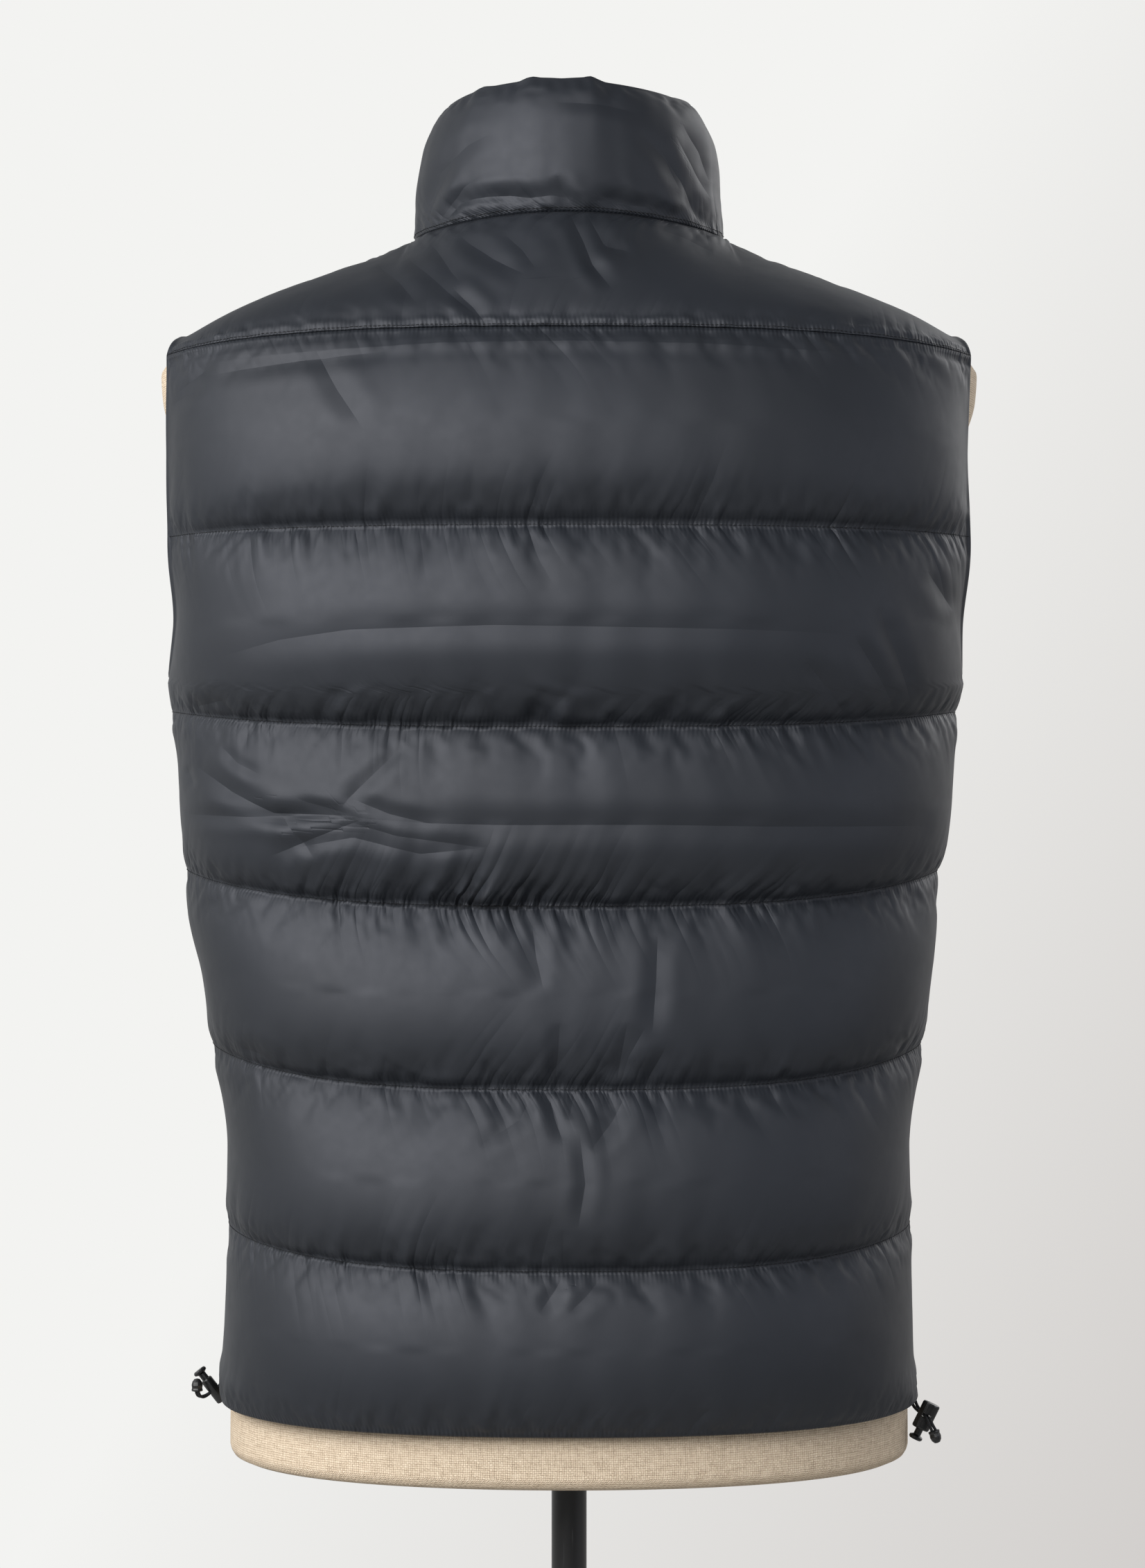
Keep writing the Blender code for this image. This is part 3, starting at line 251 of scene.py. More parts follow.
def shell_nylon():
    """Blue-black satin nylon: faint cloudiness and gloss, and a relief of weave, beads, puckers and folds.

    A pucker's height is size |2 noise - 1| 0.5^(off seam / reach). A fold's is -depth 0.5^(|off| / reach).
    A bead's is sin(2 pi along / pitch) 0.5^(off seam / reach)."""
    material, shader, add = new_material(
        "calendered_nylon_taffeta", Metallic=0.0, IOR=1.53, Specular_IOR_Level=0.5,
        Specular_Tint=linear("#eceef7"))
    place, where = add("UVMap", uv_map="UVMap"), add("TexCoord").outputs["Object"]
    clouds = add("TexNoise", {"Vector": where, "Scale": 9.0, "Detail": 3.0, "Roughness": 0.55})
    gloss = add("TexNoise", {"Vector": where, "Scale": 140.0, "Detail": 2.0})

    axes = add("SeparateXYZ", {"Vector": place}).outputs
    turns = [add("Math", (axes[axis], 2 * math.pi / WEAVE_SHOWN), operation="MULTIPLY") for axis in "XY"]
    crossing = add("Math", [add("Math", (turn,), operation="SINE") for turn in turns], operation="MULTIPLY")
    drawn = add("VectorMath", (place, (1.0, 0.06, 1.0)), operation="MULTIPLY")
    slub = add("TexNoise", {"Vector": drawn, "Scale": 900.0, "Detail": 1.0})
    weave = add("Math", (slub, 1.2, crossing), operation="MULTIPLY_ADD")

    off_seam, along, gathered = (add("Attribute", attribute_name=name).outputs["Fac"]
                                 for name in ("seam", "along", "gathered"))
    turn = add("Math", (along, 2 * math.pi / STITCH_PITCH), operation="MULTIPLY")
    halvings = add("Math", (off_seam, 1 / STITCH_REACH), operation="MULTIPLY")
    beads = add("Math", (add("Math", (turn,), operation="SINE"),
                         add("Math", (0.5, halvings), operation="POWER")), operation="MULTIPLY")

    turning = add("TexNoise", {"Vector": place, "Scale": 7.0, "Detail": 0.0})
    lean = add("MapRange", {"Value": turning, "From Min": 0.3, "From Max": 0.7,
                            "To Min": PUCKER_LEAN[0], "To Max": PUCKER_LEAN[1]})
    slanted = add("Math", (off_seam, lean, along), operation="MULTIPLY_ADD")
    relief = 0.0
    for spacing, reach, size in PUCKERS:
        slow = add("Math", (axes["Y"], PUCKER_DRAWN_OUT / spacing), operation="MULTIPLY")
        fast = add("Math", (slanted, 1 / spacing), operation="MULTIPLY")
        pattern = add("CombineXYZ", {"X": fast, "Y": slow})
        wave = add("TexNoise", {"Vector": pattern, "Scale": 1.0, "Detail": 1.0})
        signed = add("Math", (wave, 2.0, -1.0), operation="MULTIPLY_ADD")
        halvings = add("Math", (off_seam, 1 / reach), operation="MULTIPLY")
        fade = add("Math", (0.5, halvings), operation="POWER")
        ridge = add("Math", (add("Math", (signed,), operation="ABSOLUTE"), fade), operation="MULTIPLY")
        relief = add("Math", (ridge, size, relief), operation="MULTIPLY_ADD")
    relief = add("Math", (relief, gathered), operation="MULTIPLY")
    for offset_name, depth_name in zip(FOLD_NAMES[::2], FOLD_NAMES[1::2]):
        offset, depth = (add("Attribute", attribute_name=name).outputs["Fac"]
                         for name in (offset_name, depth_name))
        distance = add("Math", (offset,), operation="ABSOLUTE")
        halvings = add("Math", (distance, 1 / FOLD_REACH), operation="MULTIPLY")
        fold = add("Math", (add("Math", (0.5, halvings), operation="POWER"), depth), operation="MULTIPLY")
        relief = add("Math", (relief, fold), operation="SUBTRACT")
    drawn_in = add("Bump", {"Height": relief, "Strength": 1.0, "Distance": 1.0})
    woven = add("Bump", {"Height": weave, "Strength": 0.05, "Distance": 0.06 * MM, "Normal": drawn_in})
    sewn = add("Bump", {"Height": beads, "Strength": 0.4, "Distance": 0.4 * MM, "Normal": woven})
    connect(shader, {
        "Base Color": add("ValToRGB", {"Fac": clouds}, ((0.30, "#11151a"), (0.70, "#161a20"))),
        "Roughness": add("MapRange", {"Value": gloss, "To Min": 0.57, "To Max": 0.65}),
        "Normal": sewn})
    return material


NYLON = shell_nylon()
print("nylon nodes:", len(NYLON.node_tree.nodes))

# %% [markdown]
# ## Linen of the form
# The cover is natural linen in a plain weave, about 1.2 mm from thread to thread, with thicker slubs and
# dark gaps between the threads, which are painted shade: the colour is lighter on each thread's crown.
# Warp and weft are two sets of rounded ridges; whichever is on top at a crossing alternates like a
# chessboard. The seams of the cover are thin grooves, darkened with painted shade.

# %% Linen
THREAD = 1.25 * MM
THREAD_STRETCH = 0.22        # how much slower a thread's tone changes along it than across it


def linen_cover():
    """Natural linen: plain weave with slubs, uneven dye and sewn seams, and painted shade in the gaps between
    the threads and in the seams' grooves.

    A thread's height is |sin(pi way / thread)|, and the sign of sin sin says which thread is on top."""
    material, shader, add = new_material("natural_linen", Metallic=0.0, Roughness=0.93, IOR=1.5,
                                         Specular_IOR_Level=0.25)
    place = add("UVMap", uv_map="UVMap")
    wobble = add("TexNoise", {"Vector": place, "Scale": 130.0, "Detail": 2.0}).outputs["Color"]
    bent = add("VectorMath", (wobble, (1.1 * MM, 1.1 * MM, 0.0), place), operation="MULTIPLY_ADD")
    axes = add("SeparateXYZ", {"Vector": bent}).outputs
    turns = [add("Math", (axes[axis], math.pi / THREAD), operation="MULTIPLY") for axis in "XY"]
    waves = [add("Math", (turn,), operation="SINE") for turn in turns]
    warp, weft = (add("Math", (wave,), operation="ABSOLUTE") for wave in waves)
    chess = add("Math", waves, operation="MULTIPLY")
    on_top = add("MapRange", {"Value": chess, "From Min": -0.25, "From Max": 0.25})
    height = add("Mix", {"Factor": on_top, "A": warp, "B": weft}, data_type="FLOAT")
    tones = []
    for stretch in ((THREAD_STRETCH, 1.0, 1.0), (1.0, THREAD_STRETCH, 1.0)):
        drawn = add("VectorMath", (place, stretch), operation="MULTIPLY")
        tones.append(add("TexNoise", {"Vector": drawn, "Scale": 620.0, "Detail": 2.0}))
    slubs = add("Mix", {"Factor": on_top, "A": tones[1], "B": tones[0]}, data_type="FLOAT")
    slubs = add("Math", (slubs, 0.64), operation="MULTIPLY")
    # Painted shade: the colour is lighter on the threads' crowns and darker in the gaps between them.
    tone_and_painted_shade = add("Math", (height, 0.36, slubs), operation="MULTIPLY_ADD")
    colour = add("ValToRGB", {"Fac": tone_and_painted_shade}, (
        (0.30, "#8d7d69"), (0.47, "#b9a791"), (0.62, "#cbbaa3"), (0.80, "#ddcfba")))
    # Painted shade: along each seam's groove the colour is darkened towards dark brown.
    seam = add("Attribute", attribute_name="seam").outputs["Fac"]
    groove = add("Math", (0.5, add("Math", (seam, 1 / (0.6 * MM)), operation="MULTIPLY")), operation="POWER")
    painted_seam_shade_and_scratches = add("Math", (groove, 0.5), operation="MULTIPLY")
    relief = add("Math", (height, add("Math", (groove, 2.0), operation="MULTIPLY")), operation="SUBTRACT")
    connect(shader, {
        "Base Color": add("Mix", {"Factor": painted_seam_shade_and_scratches, "A": colour, "B": linear("#6f5a3c")}, data_type="RGBA"),
        "Normal": add("Bump", {"Height": relief, "Strength": 0.7, "Distance": 0.4 * MM})})
    return material


LINEN = linen_cover()
print("linen:", round(10 * MM / THREAD), "threads in a centimetre")

# %% [markdown]
# ## Hard finishes and small textiles
# The pole and base are steel with a black powder coat, which is slightly pebbled and carries fine pale
# scratches. The cord locks and the zip's teeth are moulded nylon and acetal, with a soft gloss. The
# slider is zinc with black enamel. Tape, thread and elastic cord are woven, twisted and braided.


# %% Powder coat
def powder_coat():
    """Black powder coat on steel: fine pebbling, and thin scratches where a patchy noise lets them show."""
    material, shader, add = new_material("black_powder_coated_steel", Metallic=0.0, IOR=1.5)
    where = add("TexCoord").outputs["Object"]
    long_way = add("VectorMath", (where, (1.0, 1.0, 0.10)), operation="MULTIPLY")
    lines = add("TexNoise", {"Vector": long_way, "Scale": 420.0, "Detail": 1.0})
    patches = add("TexNoise", {"Vector": where, "Scale": 14.0, "Detail": 2.0})
    worn = add("Math", (add("ValToRGB", {"Fac": lines}, ((0.66, 0.0), (0.72, 1.0))),
                        add("ValToRGB", {"Fac": patches}, ((0.52, 0.0), (0.66, 1.0)))), operation="MULTIPLY")
    painted_seam_shade_and_scratches = add("Math", (worn, 0.45), operation="MULTIPLY")
    pebble = add("TexNoise", {"Vector": where, "Scale": 900.0, "Detail": 1.0})
    connect(shader, {
        "Base Color": add("Mix", {"Factor": painted_seam_shade_and_scratches, "A": linear("#17181a"), "B": linear("#77787a")},
                          data_type="RGBA"),
        "Roughness": add("MapRange", {"Value": patches, "To Min": 0.32, "To Max": 0.46}),
        "Normal": add("Bump", {"Height": pebble, "Strength": 0.12, "Distance": 0.1 * MM})})
    return material


# %% Moulded plastics and enamel
def moulded(name, dark, light, low, high, scale):
    """Moulded or enamelled black: one fine noise makes its colour, its gloss and its surface uneven."""
    material, shader, add = new_material(name, Metallic=0.0, IOR=1.5)
    where = add("TexCoord").outputs["Object"]
    noise = add("TexNoise", {"Vector": where, "Scale": scale, "Detail": 3.0})
    connect(shader, {
        "Base Color": add("ValToRGB", {"Fac": noise}, ((0.35, dark), (0.65, light))),
        "Roughness": add("MapRange", {"Value": noise, "To Min": low, "To Max": high}),
        "Normal": add("Bump", {"Height": noise, "Strength": 0.08, "Distance": 0.2 * MM})})
    return material


# %% Wood
def dark_wood():
    """Dark stained beech under a thin varnish: a noise drawn out along the grain."""
    material, shader, add = new_material("stained_beech", Metallic=0.0, Roughness=0.38, IOR=1.5)
    drawn = add("VectorMath", (add("TexCoord").outputs["Object"], (1.0, 0.12, 1.0)), operation="MULTIPLY")
    grain = add("TexNoise", {"Vector": drawn, "Scale": 260.0, "Detail": 5.0})
    connect(shader, {
        "Base Color": add("ValToRGB", {"Fac": grain}, ((0.35, "#22140b"), (0.65, "#3d2717"))),
        "Normal": add("Bump", {"Height": grain, "Strength": 0.15, "Distance": 0.2 * MM})})
    return material


# %% Hard finishes
COAT = powder_coat()
NYLON_MOULDED = moulded("moulded_nylon", "#0c0d0e", "#141516", 0.28, 0.42, 300.0)
ACETAL = moulded("moulded_acetal_teeth", "#101112", "#18191b", 0.26, 0.36, 400.0)
ENAMEL = moulded("black_enamelled_zinc", "#0e0f10", "#1b1c1e", 0.20, 0.34, 350.0)
WOOD = dark_wood()
print("hard finishes:", [made.name for made in (COAT, NYLON_MOULDED, ACETAL, ENAMEL, WOOD)])

# %% [markdown]
# ### Woven tape, sewing thread and elastic cord
# Tape is woven, thread is twisted and elastic is braided, so each catches the light on small crossing
# ribs, and its colour is lighter on their crests and darker in their hollows, as painted light and shade.
# Each follows its own UV map, where u runs along the piece and v across it, both in metres.

# %% Tape, thread, cord
def ribbed(name, dark, light, pitch_along, pitch_across, roughness, depth, slant=0.0):
    """Ribs along a UV map: sin(2 pi (v + slant u) / pitch across) sin(2 pi w / pitch along), where w is u,
    or v - slant u for a twist or a braid."""
    material, shader, add = new_material(name, Metallic=0.0, Roughness=roughness, IOR=1.5,
                                         Specular_IOR_Level=0.3)
    place = add("UVMap", uv_map="UVMap")
    axes = add("SeparateXYZ", {"Vector": place}).outputs
    across = add("Math", (axes["X"], slant, axes["Y"]), operation="MULTIPLY_ADD")
    counter = add("Math", (axes["X"], -slant, axes["Y"]), operation="MULTIPLY_ADD") if slant else axes["X"]
    waves = []
    for way, pitch in ((across, pitch_across), (counter, pitch_along)):
        turn = add("Math", (way, 2 * math.pi / pitch), operation="MULTIPLY")
        waves.append(add("Math", (turn,), operation="SINE"))
    ribs = add("Math", waves, operation="MULTIPLY")
    noise = add("TexNoise", {"Vector": place, "Scale": 1500.0, "Detail": 1.0})
    # Painted light and shade: the colour is lighter on the ribs' crests and darker in their hollows.
    tone_and_painted_shade = add("Math", (ribs, 0.3, noise), operation="MULTIPLY_ADD")
    connect(shader, {
        "Base Color": add("ValToRGB", {"Fac": tone_and_painted_shade}, ((0.25, dark), (0.75, light))),
        "Normal": add("Bump", {"Height": ribs, "Strength": 0.6, "Distance": depth})})
    return material


TAPE = ribbed("woven_polyester_tape", "#101113", "#26282b", 1.1 * MM, 0.9 * MM, 0.85, 0.15 * MM)
SEWING = ribbed("twisted_polyester_thread", "#08090a", "#131416", 0.6 * MM, 0.5 * MM, 0.80, 0.1 * MM, 0.8)
ELASTIC = ribbed("braided_elastic_cord", "#0d0e10", "#2a2c2f", 1.0 * MM, 0.95 * MM, 0.75, 0.2 * MM, 0.9)
print("materials:", len(bpy.data.materials))

# %% [markdown]
# ## Elastic cords
# Two free ends of 1.8 mm elastic leave the hem on each side, cross the cord lock, and end together in a
# bell-shaped cord end. Each route is a short table of points in millimetres: the middle between the two
# strands, and half the way from one to the other. A smooth curve runs through it, as in the solids.

# %% Cord routes
CORD_DIAMETER = 1.8 * MM
ROUTES = {
    "left": table(
        "x y z sx sy sz",
        (203.9, -3.0, 843.2, 0.00, 6.30, 0.00),
        (204.1, -4.1, 840.9, 0.00, 5.28, 0.00),
        (204.8, -5.2, 838.8, 0.00, 3.17, 0.00),
        (206.2, -5.9, 836.9, 0.00, 1.43, 0.00),
        (208.2, -6.0, 835.3, 0.00, 1.18, 0.00),
        (210.2, -6.0, 833.8, 0.00, 1.18, 0.00),
        (212.2, -5.9, 832.3, -0.03, 1.18, 0.00),
        (214.0, -4.6, 831.3, -0.27, 1.10, 0.00),
        (215.5, -2.5, 831.1, -0.61, 0.98, 0.00),
        (216.6, -0.3, 831.6, -0.77, 0.90, 0.00),
        (217.4, 1.8, 832.6, -0.77, 0.90, 0.00),
        (217.9, 3.5, 834.3, -0.77, 0.90, 0.00),
        (218.1, 4.2, 836.7, -0.77, 0.90, 0.00),
        (218.1, 4.2, 839.2, -0.77, 0.90, 0.00),
    ),
    "right": table(
        "x y z sx sy sz",
        (-201.4, 5.0, 833.5, 1.15, 0.0, 0.0),
        (-201.6, 5.3, 830.6, 1.15, 0.0, 0.0),
        (-202.8, 8.0, 827.3, 1.15, 0.0, 0.1),
        (-204.9, 12.4, 825.0, 1.1, 0.0, 0.3),
        (-206.8, 17.2, 824.1, 1.05, 0.0, 0.45),
        (-207.6, 22.0, 823.8, 1.03, 0.0, 0.50),
        (-207.9, 26.0, 823.6, 1.03, 0.0, 0.50),
        (-208.6, 29.8, 822.4, 1.10, 0.45, 0.35),
        (-209.8, 32.6, 819.8, 0.98, 0.70, 0.00),
        (-211.0, 33.5, 817.2, 1.05, 0.60, -0.25),
        (-212.0, 33.8, 814.0, 1.05, 0.60, -0.25),
    ),
}


# %% Tubes
def smooth_route(route, count):
    """Points at even distances on a smooth curve (cubic Hermite, mean tangents) through a route's points,
    and the curve's length."""
    fine = np.linspace(0, len(route) - 1, 400)
    tangents = np.gradient(route, axis=0)
    k = np.clip(fine.astype(int), 0, len(route) - 2)
    t = (fine - k)[:, None]
    curve = (route[k] * (1 + 2 * t) * (1 - t) ** 2 + route[k + 1] * t**2 * (3 - 2 * t)
             + tangents[k] * t * (1 - t) ** 2 - tangents[k + 1] * t**2 * (1 - t))
    way = way_along(curve)
    return at_way(np.linspace(0, way[-1], count), way, curve), way[-1]


def tube(path, radius, sides):
    """Tube round a path, with closed ends: path + radius (u cos a + v sin a), where u and v are square to
    the path and carried along it without twist. radius is a number, or an array along the path.

    Returns points, faces and UV (metres along, metres round)."""
    along = unit(np.gradient(path, axis=0))
    side = unit(np.cross(along[0], (0.31, 0.87, 0.38)))      # square to the path, whichever way it starts
    u = []
    for tangent in along:
        side = unit(side - tangent * np.dot(side, tangent))
        u.append(side)
    u = np.array(u)
    v = np.cross(along, u)
    angle = np.arange(sides) / sides * 2 * math.pi
    radius = np.broadcast_to(radius, len(path))[:, None, None]
    rings = (path[:, None] + radius * np.cos(angle)[None, :, None] * u[:, None]
             + radius * np.sin(angle)[None, :, None] * v[:, None])
    points = np.concatenate([rings.reshape(-1, 3), path[:1], path[-1:]])
    way = way_along(path)
    uv = np.stack(np.broadcast_arrays(way[:, None], angle[None] * np.mean(radius)), -1).reshape(-1, 2)
    return points, ring_faces(len(path), sides), np.concatenate([uv, [[0, 0]], [[way[-1], 0]]])


# %% Four strands
for side_name, rows in ROUTES.items():
    middle, spread = (np.stack([rows[key] for key in keys.split()], 1) * MM for keys in ("x y z", "sx sy sz"))
    for letter, sign in (("a", 1), ("b", -1)):
        path, length = smooth_route(middle + sign * spread, 40)
        points, faces, uv = tube(path, 0.5 * CORD_DIAMETER, 12)
        strand = add_piece(f"elastic_{side_name}_{letter}", points, faces, ELASTIC, uv=uv)
        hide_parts(f"cord_{side_name}_{letter}")
        print(strand.name, round(length / MM, 1), "mm")

# %% [markdown]
# ## Surface of the vest
# The inner surface is made from sections. Up to the yoke seam a point has an angle round the body
# (0 at the centre back, 90 degrees at the left side) and a quilt level, which counts the quilt lines
# from the hem up. Above the yoke seam, rows curve over to the shoulder seam and the neckline. The
# solids use the same formulas on a coarser grid.

# %% Sizes of the vest
ROWS = 24                    # rows of points in each baffle
BACK_COLUMNS = 162           # columns across the back, side seam to side seam
SHOULDER_COLUMNS = 36        # columns of a front that end on the shoulder seam
NECK_COLUMNS = 24            # columns of a front that end on the neckline
COLLAR_ROWS = 24
SEAM_GAP = 0.4 * MM          # left open between two panels that are sewn together
ARMHOLE_LEVEL = 4 + 1 / 6    # quilt level where the side seam ends and the armhole begins
ARMHOLE_SPREAD = math.radians(20)    # how far the armhole cuts into each panel
ARMHOLE_EDGE = 5 * MM        # thickness of the wall at the armholes
FRONT_EDGE = 4.5 * MM        # thickness of the wall at the zip
PILLOW_EDGE = 24 * MM        # a baffle rounds off over this distance from a panel's side edges
ZIP_HALF = 11.5 * MM         # half the opening between the fronts
FULLNESS = 0.10              # how much fuller than an ellipse a section is at its corners
LINES = table(               # the quilt lines: height, rise at the sides, and thickness of the seam
    "height side_rise seam",
    (0.8340, 0.000, 0.0050),
    (0.9230, 0.013, 0.0032),
    (1.0220, 0.019, 0.0032),
    (1.1240, 0.018, 0.0032),
    (1.2240, 0.010, 0.0032),
    (1.3340, -0.001, 0.0032),
    (1.4425, -0.007, 0.0070),
    (1.5080, 0.000, 0.0035),
)
CROWN = np.array([0.019, 0.022, 0.025, 0.026, 0.025, 0.022, 0.0075])    # thickness of each baffle
SAG = np.array([0.86, 0.80, 0.80, 0.80, 0.80, 0.70, 0.86])    # below 1, the down hangs low in its baffle
SIDE_EASE = 0.82             # share of its thickness that a baffle loses at the sides of the body
LEVELS = np.arange(len(LINES["height"]))
YOKE, NECK = 6, 7            # quilt levels of the yoke seam and of the seams at the neck and shoulders
YOKE_ROW = YOKE * ROWS
PANEL_LEVELS = np.arange(NECK * ROWS + 1) / ROWS
BACK_SHOULDER_SHARE = 2 / 3  # share of the yoke's top edge that lies on the shoulders
VEST = table(                # sections of the inner surface
    "height left right back front",
    (0.834, 0.2015, 0.2000, 0.1390, 0.1240),
    (0.870, 0.1988, 0.1973, 0.1410, 0.1225),
    (0.920, 0.1968, 0.1970, 0.1400, 0.1205),
    (0.980, 0.1958, 0.1950, 0.1350, 0.1190),
    (1.040, 0.2055, 0.2030, 0.1280, 0.1200),
    (1.080, 0.2105, 0.2050, 0.1250, 0.1215),
    (1.120, 0.2195, 0.2090, 0.1250, 0.1230),
    (1.160, 0.2220, 0.2155, 0.1280, 0.1250),
    (1.200, 0.2245, 0.2190, 0.1330, 0.1285),
    (1.240, 0.2300, 0.2240, 0.1395, 0.1335),
    (1.280, 0.2305, 0.2290, 0.1440, 0.1345),
    (1.330, 0.2380, 0.2380, 0.1460, 0.1320),
    (1.380, 0.2385, 0.2360, 0.1440, 0.1260),
    (1.4425, 0.2370, 0.2370, 0.1320, 0.1090),
)
HEM_NOTCH = 12 * MM          # the drawn-in hem is so much higher at the left side
HEM_NOTCH_ANGLE = math.radians(9)
SHOULDER_TIP = 0.222         # distance of the shoulder's tip from the middle
SHOULDER_SLOPE = 0.43
LOFT_LEAN = 0.18             # how long the rows keep the body's direction on their way over the shoulder
NECKLINE = {"half_width": 0.088, "back": 0.083, "front": 0.094,
            "side_height": 1.508, "back_height": 1.5135, "front_height": 1.468}
NECK_TILT = math.radians(42)         # of the collar seam's face, up from level
COLLAR = table(              # sections of the collar, by the share of its height
    "share half_width back front thickness",
    (0.00, 0.0880, 0.0830, 0.0940, 0.0035),
    (0.12, 0.0820, 0.0800, 0.0915, 0.0095),
    (0.28, 0.0775, 0.0775, 0.0890, 0.0130),
    (0.46, 0.0760, 0.0760, 0.0875, 0.0135),
    (0.64, 0.0755, 0.0750, 0.0865, 0.0125),
    (0.80, 0.0725, 0.0735, 0.0855, 0.0105),
    (0.93, 0.0700, 0.0715, 0.0845, 0.0070),
    (1.00, 0.0690, 0.0705, 0.0840, 0.0035),
)
COLLAR_FRONT_TOP = 1.5650
COLLAR_BACK_TOP = table(     # top edge across the back, right side to left side, with its small peaks
    "x height",
    (-0.080, 1.5865),
    (-0.074, 1.5872),
    (-0.062, 1.5858),
    (-0.054, 1.5864),
    (-0.038, 1.5876),
    (-0.022, 1.5888),
    (-0.018, 1.5900),
    (-0.014, 1.5922),
    (-0.008, 1.5912),
    (0.004, 1.5906),
    (0.017, 1.5914),
    (0.023, 1.5924),
    (0.030, 1.5898),
    (0.044, 1.5890),
    (0.052, 1.5896),
    (0.057, 1.5876),
    (0.070, 1.5856),
    (0.080, 1.5850),
)


# %% Sections
def monotone(x, knots, values):
    """Smooth curve through the knots that never overshoots them (cubic, harmonic tangents)."""
    steps = np.diff(knots)
    slopes = np.diff(values) / steps
    product = slopes[:-1] * slopes[1:]
    total = slopes[:-1] + slopes[1:]
    inner = np.where(product > 0, 2 * product / np.where(total == 0, 1, total), 0)
    tangents = np.concatenate([slopes[:1], inner, slopes[-1:]])
    k = np.clip(np.searchsorted(knots, x) - 1, 0, len(steps) - 1)
    t = (x - knots[k]) / steps[k]
    rest = 1 - t
    return (values[k] * (1 + 2 * t) * rest**2 + values[k + 1] * t**2 * (3 - 2 * t)
            + steps[k] * t * rest * (tangents[k] * rest - tangents[k + 1] * t))


def rounded_section(angle, half_width, depth, fullness=FULLNESS):
    """Ellipse with fuller corners: half_width sin a (1 + f cos^2 a) and depth cos a (1 + f sin^2 a)."""
    sine, cosine = np.sin(angle), np.cos(angle)
    return half_width * sine * (1 + fullness * cosine**2), depth * cosine * (1 + fullness * sine**2)


def torso_point(angle, level):
    """Inner surface from the hem to the yoke seam.

    The height is the quilt line's, plus its rise at the sides times |sin a|^3 and, near the hem's left
    side, a bell-shaped notch. The half-width and depth at that height come from the sections."""
    sine = np.sin(angle)
    height = np.interp(level, LEVELS, LINES["height"])
    height = height + np.interp(level, LEVELS, LINES["side_rise"]) * np.abs(sine) ** 3
    notch = HEM_NOTCH * bell(angle - math.pi / 2, HEM_NOTCH_ANGLE)
    height = height + notch * np.clip(1 - level, 0, 1) ** 3
    size = {side: monotone(height, VEST["height"], VEST[side]) for side in ("left", "right", "back", "front")}
    half_width = np.where(sine > 0, size["left"], size["right"])
    depth = np.where(np.cos(angle) > 0, size["back"], size["front"])
    x, y = rounded_section(angle, half_width, depth)
    return np.stack([x, y, height], axis=-1)


def armhole_angle(level):
    """Angle from the side line to a panel's edge: a side seam, then a quarter ellipse to the armhole."""
    above = np.clip((level - ARMHOLE_LEVEL) / 0.9, 0, 1)
    return 0.5 * SEAM_GAP / VEST["left"].mean() + ARMHOLE_SPREAD * np.sqrt(1 - (1 - above) ** 2)


def neckline_point(angle):
    """Inner edge of the collar seam: an ellipse whose height drops with |cos a|^3 to the front and back."""
    sine, cosine = np.sin(angle), np.cos(angle)
    back = cosine > 0
    depth = np.where(back, NECKLINE["back"], NECKLINE["front"])
    end_height = np.where(back, NECKLINE["back_height"], NECKLINE["front_height"])
    height = NECKLINE["side_height"] + (end_height - NECKLINE["side_height"]) * np.abs(cosine) ** 3
    return np.stack([NECKLINE["half_width"] * sine, depth * cosine, height], axis=-1)


def shoulder_point(x):
    """Inner edge of the shoulder seam: a straight line that drops outwards."""
    height = NECKLINE["side_height"] - SHOULDER_SLOPE * (np.abs(x) - NECKLINE["half_width"])
    return np.stack([x, np.zeros_like(x), height], axis=-1)


def top_edge(share, neck_share, centre_angle, side):
    """Top of a panel from the shoulder tip (0) by the neck point (neck_share) to its centre (1)."""
    x = SHOULDER_TIP + np.clip(share / neck_share, 0, 1) * (NECKLINE["half_width"] - SHOULDER_TIP)
    round_neck = np.clip((share - neck_share) / (1 - neck_share), 0, 1)
    angle = math.pi / 2 + round_neck * (centre_angle - math.pi / 2)
    point = np.where((share > neck_share + 1e-9)[..., None], neckline_point(angle), shoulder_point(x))
    point[..., :1] *= side
    return point


def shoulder_loft(foot, below, top, rise):
    """Rows over the shoulder: a quadratic curve that leaves the body's surface in the body's direction."""
    reach = np.linalg.norm(top - foot, axis=-1, keepdims=True)
    control = foot + unit(foot - below) * LOFT_LEAN * reach
    v = rise[:, None, None]
    return (1 - v) ** 2 * foot + 2 * v * (1 - v) * control + v**2 * top


# %% Grids of inner points
def front_grid(side):
    """A front: rows from the hem to the shoulder seam and neckline, columns from the side to the zip."""
    columns = SHOULDER_COLUMNS + NECK_COLUMNS
    share = np.arange(columns + 1) / columns

    def across(level):
        level = np.asarray(level)[..., None]
        half_width = np.abs(torso_point(side * math.pi / 2, level)[..., 0])
        zip_angle = math.pi - ZIP_HALF / half_width / (1 + FULLNESS)
        start = math.pi / 2 + armhole_angle(level)
        points = torso_point(side * (start + share * (zip_angle - start)), level)
        points[..., -1, 0] = side * ZIP_HALF
        return points

    centre_angle = math.pi - math.asin(ZIP_HALF / NECKLINE["half_width"])
    top = top_edge(share, SHOULDER_COLUMNS / columns, centre_angle, side)
    top[:SHOULDER_COLUMNS + 1, 1] -= 0.5 * SEAM_GAP
    body = across(PANEL_LEVELS[:YOKE_ROW + 1])
    over = shoulder_loft(body[-1], across(YOKE - 0.1), top, PANEL_LEVELS[YOKE_ROW + 1:] - YOKE)
    over[:, -1, 0] = side * ZIP_HALF
    return np.concatenate([body, over])


